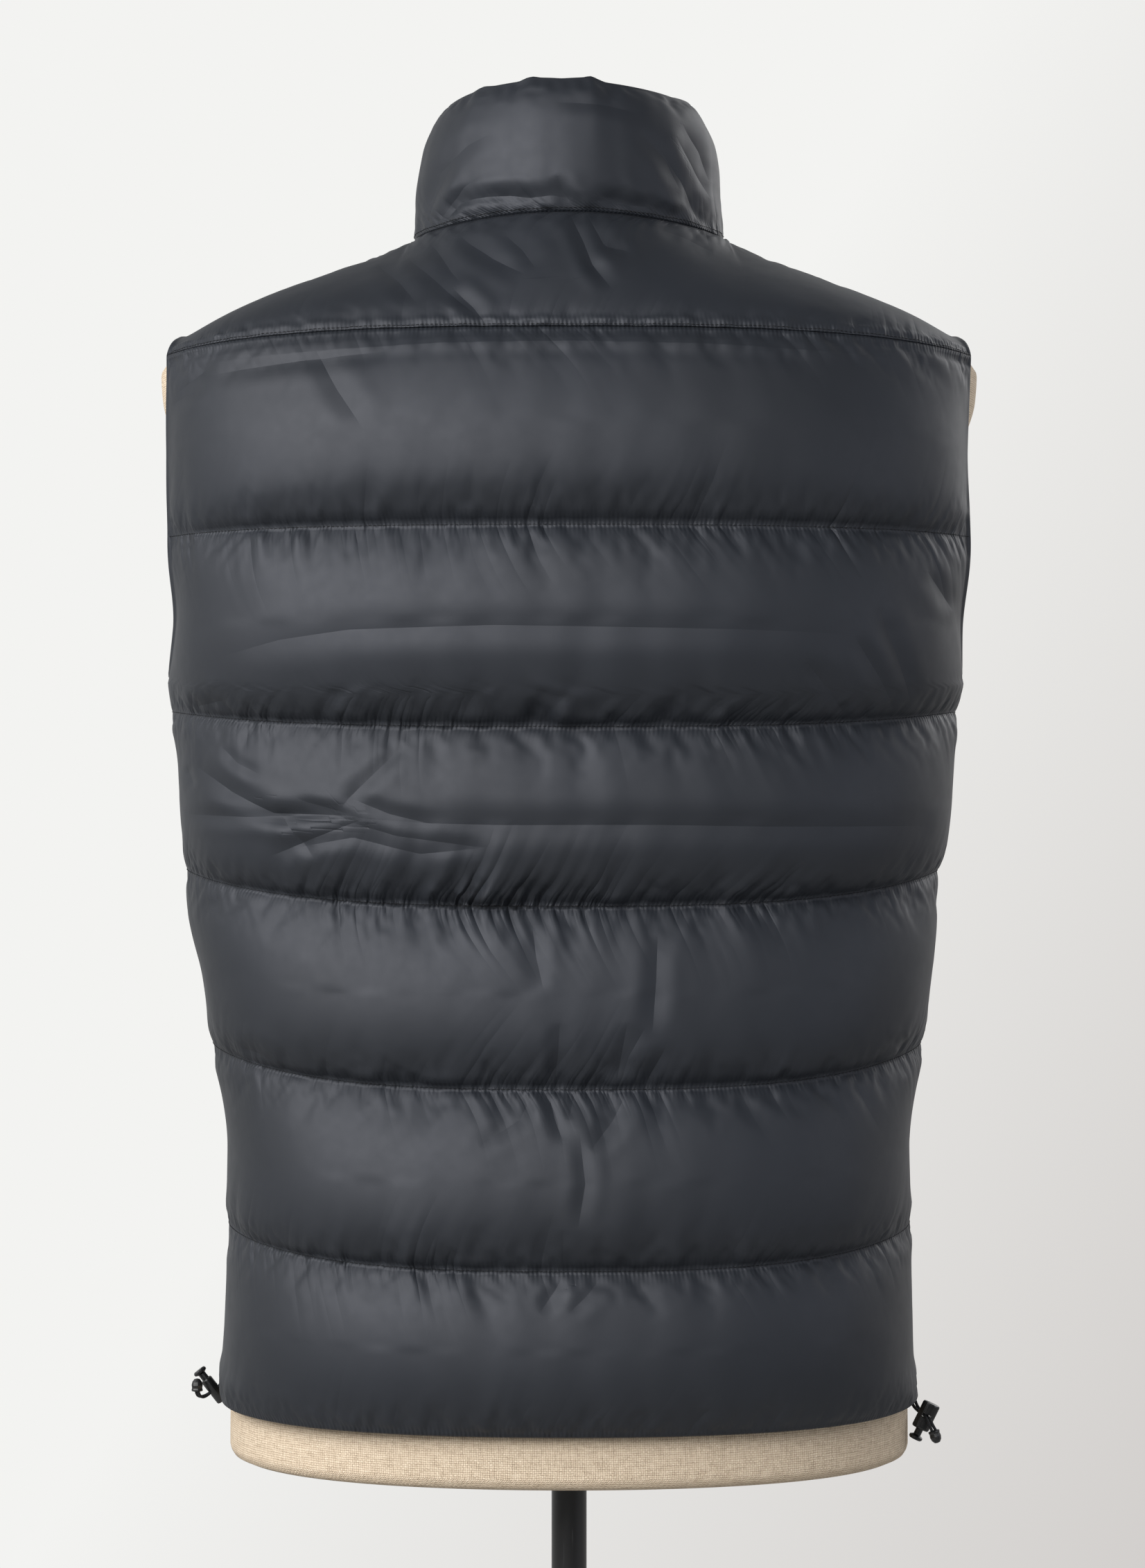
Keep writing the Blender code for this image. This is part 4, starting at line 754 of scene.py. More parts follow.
def back_grids():
    """Back panel and yoke: rows from the hem up, columns from the right edge to the left edge."""
    u = np.arange(BACK_COLUMNS + 1) / BACK_COLUMNS * 2 - 1

    def across(level):
        level = np.asarray(level)[..., None]
        return torso_point(u * (math.pi / 2 - armhole_angle(level)), level)

    side = np.where(u < 0, -1.0, 1.0)[:, None]
    top = top_edge(1 - np.abs(u), BACK_SHOULDER_SHARE, 0.0, side)
    top[np.abs(u) >= 1 - BACK_SHOULDER_SHARE - 1e-9, 1] += 0.5 * SEAM_GAP
    body = across(PANEL_LEVELS[:YOKE_ROW + 1])
    over = shoulder_loft(body[-1], across(YOKE - 0.1), top, PANEL_LEVELS[YOKE_ROW + 1:] - YOKE)
    yoke = np.concatenate([body[-1:], over])
    body[-1, :, 2] -= 0.5 * SEAM_GAP
    yoke[0, :, 2] += 0.5 * SEAM_GAP
    return body, yoke


def collar_grid():
    """The collar: rows from its seam to its top edge, columns from its right zip edge round to its left."""
    half = BACK_COLUMNS // 3
    centre_angle = math.pi - math.asin(ZIP_HALF / NECKLINE["half_width"])
    front = math.pi / 2 + np.arange(1, NECK_COLUMNS + 1) / NECK_COLUMNS * (centre_angle - math.pi / 2)
    back = (np.arange(half + 1) / half * 2 - 1) * math.pi / 2
    share, angle = np.meshgrid(np.arange(COLLAR_ROWS + 1) / COLLAR_ROWS,
                               np.concatenate([-front[::-1], back, front]), indexing="ij")
    column = {key: monotone(share, COLLAR["share"], COLLAR[key]) for key in ("half_width", "back", "front")}
    cosine = np.cos(angle)
    depth = np.where(cosine > 0, column["back"], column["front"])
    foot = neckline_point(angle)
    x = column["half_width"] * np.sin(angle)
    side_top = COLLAR_BACK_TOP["height"][0]
    back_top = np.interp(1.08 * x[-1], COLLAR_BACK_TOP["x"], COLLAR_BACK_TOP["height"])
    top = np.where(cosine > 0, back_top, side_top + (COLLAR_FRONT_TOP - side_top) * cosine**2)
    x[:, 0], x[:, -1] = -ZIP_HALF, ZIP_HALF
    height = foot[..., 2] + SEAM_GAP + share * (top - foot[..., 2])
    return np.stack([x, depth * cosine, height], axis=-1)


# %% Directions of the wall
def outward(points):
    """Unit normals of a grid of points, away from the body's axis."""
    normals = unit(np.cross(np.gradient(points, axis=1), np.gradient(points, axis=0)))
    away = np.sum(normals[..., :2] * points[..., :2]) > 0
    return normals if away else -normals


def neckline_direction(points):
    """Direction of the collar seam's face: outwards from the neck and upwards."""
    flat = points * np.array([1.0, 1.0, 0.0])
    return unit(unit(flat) * math.cos(NECK_TILT) + np.array([0.0, 0.0, math.sin(NECK_TILT)]))


def shoulder_direction(side):
    """Direction of the shoulder seam's face: square to the seam's slope."""
    side = np.asarray(side, float)
    return unit(np.stack([side * SHOULDER_SLOPE, 0 * side, 0 * side + 1], axis=-1))


def share_seams(back, yoke, fronts, collar):
    """Normals of every grid, made equal where two pieces meet in a seam."""
    back_out, yoke_out, collar_out = outward(back), outward(yoke), outward(collar)
    front_out = {side: outward(grid) for side, grid in fronts.items()}
    back_out[-1] = yoke_out[0] = unit(back_out[-1] + yoke_out[0])
    seam_rows = round(ARMHOLE_LEVEL * ROWS) + 1
    for side, column in ((1, -1), (-1, 0)):
        seam = unit(back_out[:seam_rows, column] + front_out[side][:seam_rows, 0])
        back_out[:seam_rows, column] = front_out[side][:seam_rows, 0] = seam
        front_out[side][-1, :SHOULDER_COLUMNS] = shoulder_direction(side)
        front_out[side][-1, SHOULDER_COLUMNS:] = neckline_direction(fronts[side][-1, SHOULDER_COLUMNS:])
    off_centre = np.arange(BACK_COLUMNS + 1) - BACK_COLUMNS / 2
    on_neck = np.abs(off_centre) <= (1 - BACK_SHOULDER_SHARE) * BACK_COLUMNS / 2 + 1e-6
    yoke_out[-1] = np.where(on_neck[:, None], neckline_direction(yoke[-1]),
                            shoulder_direction(np.sign(off_centre)))
    collar_out[0] = neckline_direction(collar[0])
    return back_out, yoke_out, front_out, collar_out


# %% Inner surface and its directions
back_inner, yoke_inner = back_grids()
fronts_inner = {side: front_grid(side) for side in (1, -1)}
collar_inner = collar_grid()
back_way, yoke_way, fronts_way, collar_way = share_seams(back_inner, yoke_inner, fronts_inner, collar_inner)
print("grids:", back_inner.shape, yoke_inner.shape, fronts_inner[1].shape, collar_inner.shape)

# %% [markdown]
# ## Thickness of the down
# Between two quilt lines the wall swells to its crown and falls back to the seam, a little fuller below
# the middle, where the down settles. It is thinner at the sides of the body and rounds off at a panel's
# side edges.


# %% Plain thickness
BODY_RADIUS = 0.2            # turns an angle round the body into a distance
COLLAR_EDGE = 0.012          # the collar rounds off over this distance from the zip
QUILT_GATHER, COLLAR_GATHER = 0.012, 0.02        # share of the thickness that the waves add and take


def belly(share, sag):
    """Height of a baffle between two seams, fullest a little below its middle: sin(pi s^sag)^0.62."""
    return np.sin(math.pi * np.clip(share, 0, 1) ** sag) ** 0.62


def row_distance(points):
    """Distance along each row from its first point, in metres."""
    steps = np.linalg.norm(np.diff(points, axis=1), axis=-1)
    return np.concatenate([np.zeros((len(points), 1)), np.cumsum(steps, axis=1)], axis=1)


def edge_distance(points):
    """Distance of each point from the nearer end of its row, in metres."""
    run = row_distance(points)
    return np.minimum(run, run[:, -1:] - run)


def gathers(points, line):
    """Shallow waves along the seams, from -1 to 1, as uneven as sewing makes them: the sum of
    share sin(2 pi way / length + phase line)."""
    way = np.arctan2(points[..., 0], points[..., 1]) * BODY_RADIUS
    return sum(share * np.sin(2 * math.pi * way / length + phase * line)
               for share, length, phase in ((0.6, 0.039, 1.7), (0.4, 0.061, 2.9)))


def quilt_thickness(points, levels, first_edge, last_edge):
    """Wall thickness on a grid whose rows stand at quilt levels:
    seam + (crown - seam) belly sqrt(1 - (1 - inset)^2), and an edge's own thickness where that is more."""
    level = levels[:, None]
    share = np.where(level < NECK, level - np.floor(level), 0.0)
    baffle = np.clip(np.floor(levels).astype(int), 0, len(CROWN) - 1)
    crown, sag = CROWN[baffle][:, None], SAG[baffle][:, None]
    seam = np.interp(level, LEVELS, LINES["seam"])
    inset = fade_in(edge_distance(points), PILLOW_EDGE)
    crown = crown * (1 + QUILT_GATHER * gathers(points, np.round(level)))
    breadth = np.abs(points[..., 0])
    crown = crown * (1 - SIDE_EASE * (breadth / breadth.max(axis=1, keepdims=True)) ** 6)
    thickness = seam + (crown - seam) * belly(share, sag) * np.sqrt(1 - (1 - inset) ** 2)
    thickness[:, 0] = np.maximum(thickness[:, 0], first_edge)
    thickness[:, -1] = np.maximum(thickness[:, -1], last_edge)
    return np.where(level == NECK, LINES["seam"][NECK], thickness)


def collar_thickness(points):
    """Padding of the collar: flat at its seam, top edge and zip edges, with shallow gathers."""
    inset = fade_in(edge_distance(points), COLLAR_EDGE)
    share = np.arange(len(points)) / (len(points) - 1)
    seam = LINES["seam"][NECK]
    padding = monotone(share, COLLAR["share"], COLLAR["thickness"])[:, None] - seam
    padding = padding * np.sqrt(1 - (1 - inset) ** 2)
    return seam + padding * (1 + COLLAR_GATHER * gathers(points, NECK + 1))


def bound_edge(levels):
    """Thickness of a panel's edge where it is an armhole's, and 0 where it is a side seam."""
    return np.where((levels > ARMHOLE_LEVEL + 0.01) & (levels < NECK), ARMHOLE_EDGE, 0)


# %% Panels before they are puffed up
BACK_LEVELS, YOKE_LEVELS = PANEL_LEVELS[:YOKE_ROW + 1], PANEL_LEVELS[YOKE_ROW:]
plain = {
    "back": (back_inner, back_way, quilt_thickness(
        back_inner, BACK_LEVELS, bound_edge(BACK_LEVELS), bound_edge(BACK_LEVELS))),
    "yoke": (yoke_inner, yoke_way, quilt_thickness(
        yoke_inner, YOKE_LEVELS, bound_edge(YOKE_LEVELS), bound_edge(YOKE_LEVELS))),
    "front_left": (fronts_inner[1], fronts_way[1], quilt_thickness(
        fronts_inner[1], PANEL_LEVELS, bound_edge(PANEL_LEVELS), FRONT_EDGE)),
    "front_right": (fronts_inner[-1], fronts_way[-1], quilt_thickness(
        fronts_inner[-1], PANEL_LEVELS, bound_edge(PANEL_LEVELS), FRONT_EDGE)),
    "collar": (collar_inner, collar_way, collar_thickness(collar_inner)),
}
for name, (inner, way, thickness) in plain.items():
    print(name, "thickness", round(thickness.min() / MM, 1), "to", round(thickness.max() / MM, 1), "mm")

# %% [markdown]
# ## Puffing up the quilting
# Blender's Cloth finds how the shell lies over the down. All panels are simulated together, without
# gravity. Their quilt lines and edges are pinned, the down pushes outwards as an even pressure, and the
# cloth is a few percent too large for its frame of stitches, which is what makes it pucker beside them.
# A little seeded noise lets the puckers choose where to start.

# %% Cloth
CLOTH_FRAMES = 24
START_SHARE = 0.86           # share of the plain thickness that the simulation starts from
START_NOISE = 0.2 * MM
CLOTH_SETTINGS = {
    "quality": 5, "tension_stiffness": 15, "compression_stiffness": 15, "shear_stiffness": 4,
    "bending_stiffness": 2.0, "vertex_group_mass": "pins",
    "shrink_min": -0.022,    # the cloth is so much larger than its frame, each way
    "use_pressure": True, "uniform_pressure_force": 6.0}
random = np.random.default_rng(20)


def facing_out(points, way):
    """True if the faces of grid_faces look along the outward directions of a grid."""
    return np.sum(np.cross(points[0, 1] - points[0, 0], points[1, 0] - points[0, 0]) * way[0, 0]) > 0


def puff_up(panels):
    """Outer points of every panel after the simulation: {name: grid}."""
    starts, faces, held, first = {}, [], [], 0
    for name, (inner, way, thickness) in panels.items():
        rows, columns = inner.shape[:2]
        pinned = np.zeros((rows, columns), bool)
        pinned[[0, -1]] = pinned[:, [0, -1]] = True
        if name != "collar":
            pinned[::ROWS] = True
        noise = np.where(pinned, 0, random.normal(0, START_NOISE, (rows, columns)))
        height = np.where(pinned, thickness, START_SHARE * thickness) + noise
        starts[name] = inner + way * height[..., None]
        faces.append(grid_faces(rows, columns, first, flip=not facing_out(inner, way)))
        held.append(pinned.ravel())
        first += rows * columns
    cloth_mesh = bpy.data.meshes.new("cloth")
    points = np.concatenate([start.reshape(-1, 3) for start in starts.values()])
    cloth_mesh.from_pydata(points.tolist(), [], np.concatenate(faces).tolist())
    cloth = bpy.data.objects.new("cloth", cloth_mesh)
    bpy.context.scene.collection.objects.link(cloth)
    pins = cloth.vertex_groups.new(name="pins")
    pins.add(np.flatnonzero(np.concatenate(held)).tolist(), 1.0, "REPLACE")
    modifier = cloth.modifiers.new("cloth", "CLOTH")
    for key, value in CLOTH_SETTINGS.items():
        setattr(modifier.settings, key, value)
    modifier.settings.effector_weights.gravity = 0
    modifier.collision_settings.use_collision = False
    modifier.point_cache.frame_end = CLOTH_FRAMES
    for step in range(1, CLOTH_FRAMES + 1):
        bpy.context.scene.frame_set(step)
    shaped = cloth.evaluated_get(bpy.context.evaluated_depsgraph_get()).data
    moved = np.empty(3 * len(points))
    shaped.vertices.foreach_get("co", moved)
    bpy.data.objects.remove(cloth)
    bpy.data.meshes.remove(cloth_mesh)
    bpy.context.scene.frame_set(1)
    moved, first, puffed = moved.reshape(-1, 3), 0, {}
    for name, start in starts.items():
        count = start.shape[0] * start.shape[1]
        puffed[name] = moved[first:first + count].reshape(start.shape)
        first += count
    return puffed


puffed = puff_up(plain)
for name, (inner, way, thickness) in plain.items():
    rise = np.sum((puffed[name] - inner) * way, axis=-1)
    print(name, "rises to", round(rise.max() / MM, 1), "mm, plain", round(thickness.max() / MM, 1), "mm")

# %% [markdown]
# ## A finer grid
# Each panel gets twice as many points both ways. A new point between two old ones is a weighted mean of
# four, which keeps curves round. Rows are refined baffle by baffle, so that a quilt line stays a crease.


# %% Refine
def between(points):
    """Points halfway between the rows of an array: (-1, 9, 9, -1) / 16, and (3, 6, -1) / 8 at its ends."""
    middle = (9 * (points[1:-2] + points[2:-1]) - points[:-3] - points[3:]) / 16
    first = (3 * points[:1] + 6 * points[1:2] - points[2:3]) / 8
    last = (3 * points[-1:] + 6 * points[-2:-1] - points[-3:-2]) / 8
    return np.concatenate([first, middle, last])


def refine_rows(points, step):
    """Twice as many rows, worked out apart in each stretch of so many rows."""
    fine = np.empty((2 * len(points) - 1, *points.shape[1:]))
    fine[::2] = points
    for start in range(0, len(points) - 1, step):
        fine[2 * start + 1:2 * (start + step):2] = between(points[start:start + step + 1])
    return fine


def refine(points, step):
    """Twice as many rows and columns."""
    return refine_rows(refine_rows(points, step).swapaxes(0, 1), points.shape[1] - 1).swapaxes(0, 1)


print("refined, 5 rows are", len(refine(np.zeros((5, 9)), 4)))

# %% Keep the puckers
FINE_ROWS = 2 * ROWS
NEAR_SEAM = 0.16             # share of a baffle's height over which the simulation's puckers are kept
PUCKERS_KEPT = 0.8           # share of them that is kept
RISE_KEPT = 0.12             # share of the simulation's broad bulges that is kept
BROAD, NARROW = 5.0, 1.5     # reach of the two blurs that tell bulges from puckers, in cells
SIDE_FIT = 0.10              # share of its thickness a baffle loses at the sides of the body
THINNEST = 2.6 * MM


def blur(values, radius):
    """Values averaged with their neighbours both ways, with a bell-shaped weight of that many cells."""
    reach = int(3 * radius)
    weights = np.exp(-0.5 * (np.arange(-reach, reach + 1) / radius) ** 2)
    weights /= weights.sum()
    for _ in range(2):
        padded = np.pad(values, ((reach, reach), (0, 0)), mode="edge")
        values = sum(weight * padded[k:k + len(values)] for k, weight in enumerate(weights)).T
    return values


def soften(excess, step):
    """The simulation's surface keeps its puckers beside a seam and loses its dimples towards mid-baffle."""
    away = np.abs((np.arange(len(excess)) + step / 2) % step - step / 2)[:, None]
    near = bell(away, NEAR_SEAM * step)
    broad, narrow = blur(excess, BROAD), blur(excess, NARROW)
    return ((excess - broad) * near * PUCKERS_KEPT + (narrow - broad) * (1 - near) * near * PUCKERS_KEPT
            + broad * RISE_KEPT)


def fine_panel(name):
    """Inner points, outward directions and outer points of a panel on the finer grid."""
    inner, way, thickness = plain[name]
    step = COLLAR_ROWS if name == "collar" else ROWS
    offset = puffed[name] - inner
    rise = np.sum(offset * way, axis=-1)
    breadth = np.abs(inner[..., 0])
    fit = 1 - SIDE_FIT * (breadth / breadth.max(axis=1, keepdims=True)) ** 4
    over = soften(rise - thickness, step)
    offset = offset + way * (np.maximum(thickness * fit + over, THINNEST) - rise)[..., None]
    fine_inner = refine(inner, step)
    return fine_inner, unit(refine(way, step)), fine_inner + refine(offset, step)


panels = {name: fine_panel(name) for name in plain}
print("finer grids:", {name: outer.shape[:2] for name, (inner, way, outer) in panels.items()})

# %% [markdown]
# ## Wrinkles
# Beside a seam, the extra cloth stands in narrow ridges. Away from it they merge into fewer and wider
# ones, until the down smooths them out. So the wrinkles are a few ridge patterns of growing width, each
# with its own reach from the seam. They lean to one side here and to the other there, and come in groups.


# %% Uneven patterns
def smoothstep(t):
    """0 to 1 with level ends: t^2 (3 - 2 t)."""
    return t * t * (3 - 2 * t)


def wander(x, spacing, seed):
    """Smooth random values along a line, one new value at each spacing (smoothstep between them)."""
    values = np.random.default_rng(seed).normal(size=997)
    k = np.floor(x / spacing).astype(int)
    t = smoothstep(x / spacing - k)
    return values[k % 997] * (1 - t) + values[(k + 1) % 997] * t


def drift(x, y, spacing, seed):
    """Smooth random values over a surface, one at each corner of a square grid."""
    values = np.random.default_rng(seed).normal(size=(211, 199))
    i, j = np.floor(x / spacing).astype(int), np.floor(y / spacing).astype(int)
    s, t = smoothstep(x / spacing - i), smoothstep(y / spacing - j)
    near = values[i % 211, j % 199] * (1 - s) + values[(i + 1) % 211, j % 199] * s
    far = values[i % 211, (j + 1) % 199] * (1 - s) + values[(i + 1) % 211, (j + 1) % 199] * s
    return near * (1 - t) + far * t


# %% Wrinkles
RIDGES = table(
    "spacing reach height",  # distance between ridges, how far they reach from the seam, and their height
    (0.0045, 0.006, 0.00030),
    (0.0075, 0.011, 0.00055),
    (0.0120, 0.017, 0.00080),
    (0.0200, 0.026, 0.00080),
)
SEAM_CLEAR = 1.5 * MM        # distance from the seam at which wrinkles have half their height
LUMPS = ((3, 0.058, 0.45 * MM), (5, 0.017, 0.05 * MM))    # shift of the pattern, spacing, height
LUMP_EDGE = 0.02             # lumps of down fade over this distance to a seam


def seam_wrinkles(along, away, seed, strength):
    """Height of the wrinkles beside one seam, by the way along it and the distance from it.

    A pattern's height is size (sqrt(wave^2 + 0.05) - 0.8) exp(-(away / reach)^1.5) away / (away + clear)."""
    lean = 0.15 * wander(along, 0.07, seed) + 0.40
    groups = np.clip(0.75 + 0.45 * wander(along, 0.045, seed + 1), 0.15, 1.6) * strength
    height = np.zeros(np.broadcast(along, away).shape)
    for k, (spacing, reach, size) in enumerate(zip(*RIDGES.values())):
        wave = wander(along + lean * away, spacing, seed + 10 + k)
        ridge = np.sqrt(wave**2 + 0.05) - 0.8
        height += size * ridge * np.exp(-((away / reach) ** 1.5)) * away / (away + SEAM_CLEAR)
    return height * groups


def arc_down(points):
    """Distance along each column from its first row, in metres."""
    return row_distance(points.swapaxes(0, 1)).swapaxes(0, 1)


def panel_wrinkles(along, up, levels, seed, strength_of):
    """Wrinkles of a whole panel: both sides of every quilt line, and slow unevenness of the down."""
    lumps = sum(drift(along + shift, up, spacing, seed + k) * size
                for k, (shift, spacing, size) in enumerate(LUMPS))
    height = np.zeros(up.shape)
    last = len(levels) - 1
    for row in range(0, last, FINE_ROWS):
        top = min(row + FINE_ROWS, last)
        part = slice(row, top + 1)
        line, run = round(levels[row]), along[part]
        low, high = up[part] - up[row], up[top] - up[part]
        height[part] = lumps[part] * fade_in(np.minimum(low, high), LUMP_EDGE)
        height[part] += seam_wrinkles(run, low, seed + 20 * line, strength_of(line, 1, run))
        height[part] += seam_wrinkles(run, high, seed + 20 * line + 9, strength_of(line + 1, -1, run))
    return height


print("patterns of ridges:", len(RIDGES["height"]), "lumps:", len(LUMPS))

# %% [markdown]
# ## Creases seen in the photograph
# The largest creases of the back are listed one by one. Each is a line through a few points, in
# millimetres as seen from behind (+x is the wearer's left), with the width of its trough and its depth.
# Beside the trough the cloth stands up a little, and the trough runs out at both ends.

# %% Creases of the back
CREASES = [
    (5, 2.4, (204, 1421), (150, 1426), (99, 1430)),
    (6, 3.4, (141, 1433), (128, 1409), (112, 1385)),
    (6, 3.0, (224, 1413), (200, 1428)),
    (7, 3.0, (196, 1262), (160, 1271), (121, 1276), (42, 1278), (-92, 1276), (-161, 1274)),
    (5, 3.4, (-171, 1290), (-183, 1262), (-192, 1237)),
    (5, 3.0, (-158, 1272), (-173, 1250), (-183, 1233)),
    (5, 2.8, (-130, 1259), (-144, 1243), (-154, 1229)),
    (5, 2.6, (-201, 1311), (-218, 1290)),
    (5, 4.6, (216, 1204), (211, 1201), (190, 1187), (165, 1175), (122, 1174), (112, 1173)),
    (4, 3.4, (222, 1175), (213, 1174), (179, 1173), (135, 1174), (118, 1173)),
    (7, 3.4, (128, 1175), (119, 1173), (78, 1170), (41, 1169), (-50, 1169), (-107, 1168), (-208, 1168)),
    (4, 3.0, (124, 1186), (121, 1184), (99, 1175), (78, 1170), (70, 1169)),
    (4, 3.4, (90, 1214), (97, 1207), (116, 1189), (122, 1183), (126, 1177)),
    (3, 2.2, (152, 1185), (147, 1182), (122, 1175)),
    (5, 4.0, (168, 1151), (162, 1153), (140, 1162), (119, 1170), (113, 1172)),
    (4, 3.0, (122, 1171), (119, 1170), (95, 1163), (51, 1157), (44, 1157)),
    (4, 3.0, (152, 1155), (147, 1157), (119, 1162), (82, 1153), (51, 1156), (45, 1157)),
    (3, 2.4, (163, 1176), (160, 1173), (152, 1164), (143, 1153), (140, 1150)),
    (3, 2.0, (196, 1213), (186, 1203), (171, 1196)),
    (3, -1.8, (-225, 1427), (-150, 1431), (-75, 1434), (0, 1435), (75, 1434), (150, 1431), (225, 1427)),
    (5, 3.0, (20, 1112), (18, 1096), (14, 1079)),
    (5, 3.0, (-49, 1109), (-48, 1082), (-46, 1055)),
    (4, 3.2, (-32, 1060), (-29, 1043), (-26, 1025)),
    (4, 2.6, (-42, 1058), (-33, 1042), (-28, 1025)),
    (4, 2.6, (-53, 1046), (-42, 1026)),
    (4, 2.8, (5, 1060), (6, 1042), (8, 1025)),
    (4, 2.2, (-23, 1039), (-8, 1025)),
    (4, 2.8, (11, 1021), (8, 1008), (3, 995)),
    (3, 1.8, (-3, 1021), (0, 1007)),
    (5, 3.4, (-32, 1021), (-24, 1006), (-12, 991)),
    (4, 2.6, (-6, 999), (-9, 973), (-5, 948)),
    (3, 1.8, (3, 948), (3, 926)),
    (4, 2.4, (20, 1020), (27, 1007), (49, 993)),
    (4, 2.4, (2, 923), (8, 913), (16, 902)),
    (4, 2.4, (-18, 921), (-10, 911), (0, 902)),
    (4, 4.6, (2, 1517), (-1, 1512), (-8, 1496), (-13, 1482), (-20, 1472), (-24, 1466)),
    (4, 4.0, (-9, 1514), (-12, 1509), (-20, 1493), (-30, 1491), (-36, 1488)),
    (3, 2.4, (219, 1202), (213, 1189)),
    (5, 2.6, (190, 1043), (176, 1040), (162, 1034)),
    (4, 2.6, (-185, 1041), (-193, 1047)),
    (4, 2.2, (220, 1234), (191, 1239)),
    (4, 2.2, (228, 1407), (204, 1416)),
    (4, 3.6, (64, 1467), (60, 1463), (53, 1456), (47, 1447), (44, 1443)),
    (5, 2.6, (80, 1500), (75, 1494), (66, 1478), (60, 1470)),
    (5, 2.4, (92, 1490), (86, 1484), (68, 1466), (50, 1450)),
    (5, 3.4, (62, 1502), (56, 1496), (42, 1485), (30, 1478), (24, 1475)),
    (5, 2.4, (110, 1488), (96, 1474), (84, 1458)),
    (5, 2.2, (36, 1500), (26, 1490), (18, 1478)),
    (6, 2.4, (-52, 1506), (-66, 1502), (-82, 1494)),
]
print("creases of the back:", len(CREASES))

# %% Creases of the collar
COLLAR_CREASES = [
    (4, 5.0, (82, 1504), (71, 1515), (62, 1524), (47, 1525), (34, 1525), (21, 1523), (12, 1524),
     (-2, 1523)),
    (4, 4.5, (-10, 1519), (-15, 1521), (-25, 1521), (-46, 1519), (-60, 1513), (-74, 1506)),
    (4, 4.0, (7, 1535), (3, 1526), (-4, 1515), (-6, 1509)),
    (4, 3.0, (83, 1504), (72, 1519), (60, 1531), (50, 1537)),
    (5, 3.0, (84, 1507), (77, 1530), (67, 1547)),
    (5, 2.6, (83, 1520), (74, 1543), (58, 1556), (44, 1561)),
    (5, 3.6, (-65, 1570), (-75, 1555), (-81, 1539)),
    (5, 3.6, (-61, 1561), (-72, 1543), (-81, 1530)),
    (5, 3.6, (-52, 1553), (-64, 1536), (-73, 1519), (-83, 1504)),
    (5, 2.6, (-40, 1562), (-56, 1546), (-64, 1530)),
    (4, 2.0, (8, 1577), (-3, 1577), (-22, 1576), (-42, 1572)),
    (3, 2.4, (20, 1522), (19, 1514), (16, 1509)),
    (3, 2.4, (35, 1523), (30, 1514), (27, 1508)),
    (3, 2.4, (-24, 1520), (-19, 1513), (-17, 1508)),
    (3, 2.4, (-45, 1518), (-38, 1511), (-36, 1506)),
]
print("creases of the collar:", len(COLLAR_CREASES))

# %% Troughs and folds
GEOMETRY_SHARE = 0.32        # share of a crease's depth that is a broad trough
SHARP_SHARE = 0.22           # share of it that is a sharp fold at the bottom of the trough
BANK = (0.45, 2.1)           # height of the banks beside a trough, and their distance in trough widths
FOLD_SIGHT = 12.0            # millimetres from a crease at which its sharp fold is forgotten
FOLD_PARTING = 4.0           # a fold fades where its layer's next one is less than so much further off
FAR = 1e3                    # millimetres, further than any crease


def layers_of(creases):
    """Put each crease in the first layer where no earlier crease comes near it."""
    layers = [[] for _ in range(FOLD_LAYERS)]
    for crease in creases:
        points = np.array(crease[2:], float)
        fine = np.concatenate([points[:-1] + (points[1:] - points[:-1]) * t for t in np.linspace(0, 1, 9)])
        gaps = [min([np.linalg.norm(fine[:, None] - other[None], axis=-1).min() for _, other in layer]
                    or [99.0]) for layer in layers]
        best = next((k for k, gap in enumerate(gaps) if gap > 1.6 * FOLD_SIGHT), int(np.argmax(gaps)))
        layers[best].append((crease, fine))
    return [[crease for crease, _ in layer] for layer in layers]


def crease_place(points, x, z):
    """Distance of (x, z) from a crease's line, the share of its length passed at the nearest point, and
    the side of the line, -1 or 1."""
    lengths = np.linalg.norm(np.diff(points, axis=0), axis=1)
    nearest, share, sign = np.full(x.shape, 1e9), np.zeros(x.shape), np.ones(x.shape)
    before = 0.0
    for (x1, z1), (x2, z2), length in zip(points[:-1], points[1:], lengths):
        t = np.clip(((x - x1) * (x2 - x1) + (z - z1) * (z2 - z1)) / length**2, 0, 1)
        distance = np.hypot(x - x1 - t * (x2 - x1), z - z1 - t * (z2 - z1))
        across = (x - x1) * (z2 - z1) - (z - z1) * (x2 - x1)
        closer = distance < nearest
        share = np.where(closer, (before + t * length) / lengths.sum(), share)
        sign = np.where(closer, np.where(across < 0, -1.0, 1.0), sign)
        nearest = np.where(closer, distance, nearest)
        before += length
    return nearest, share, sign


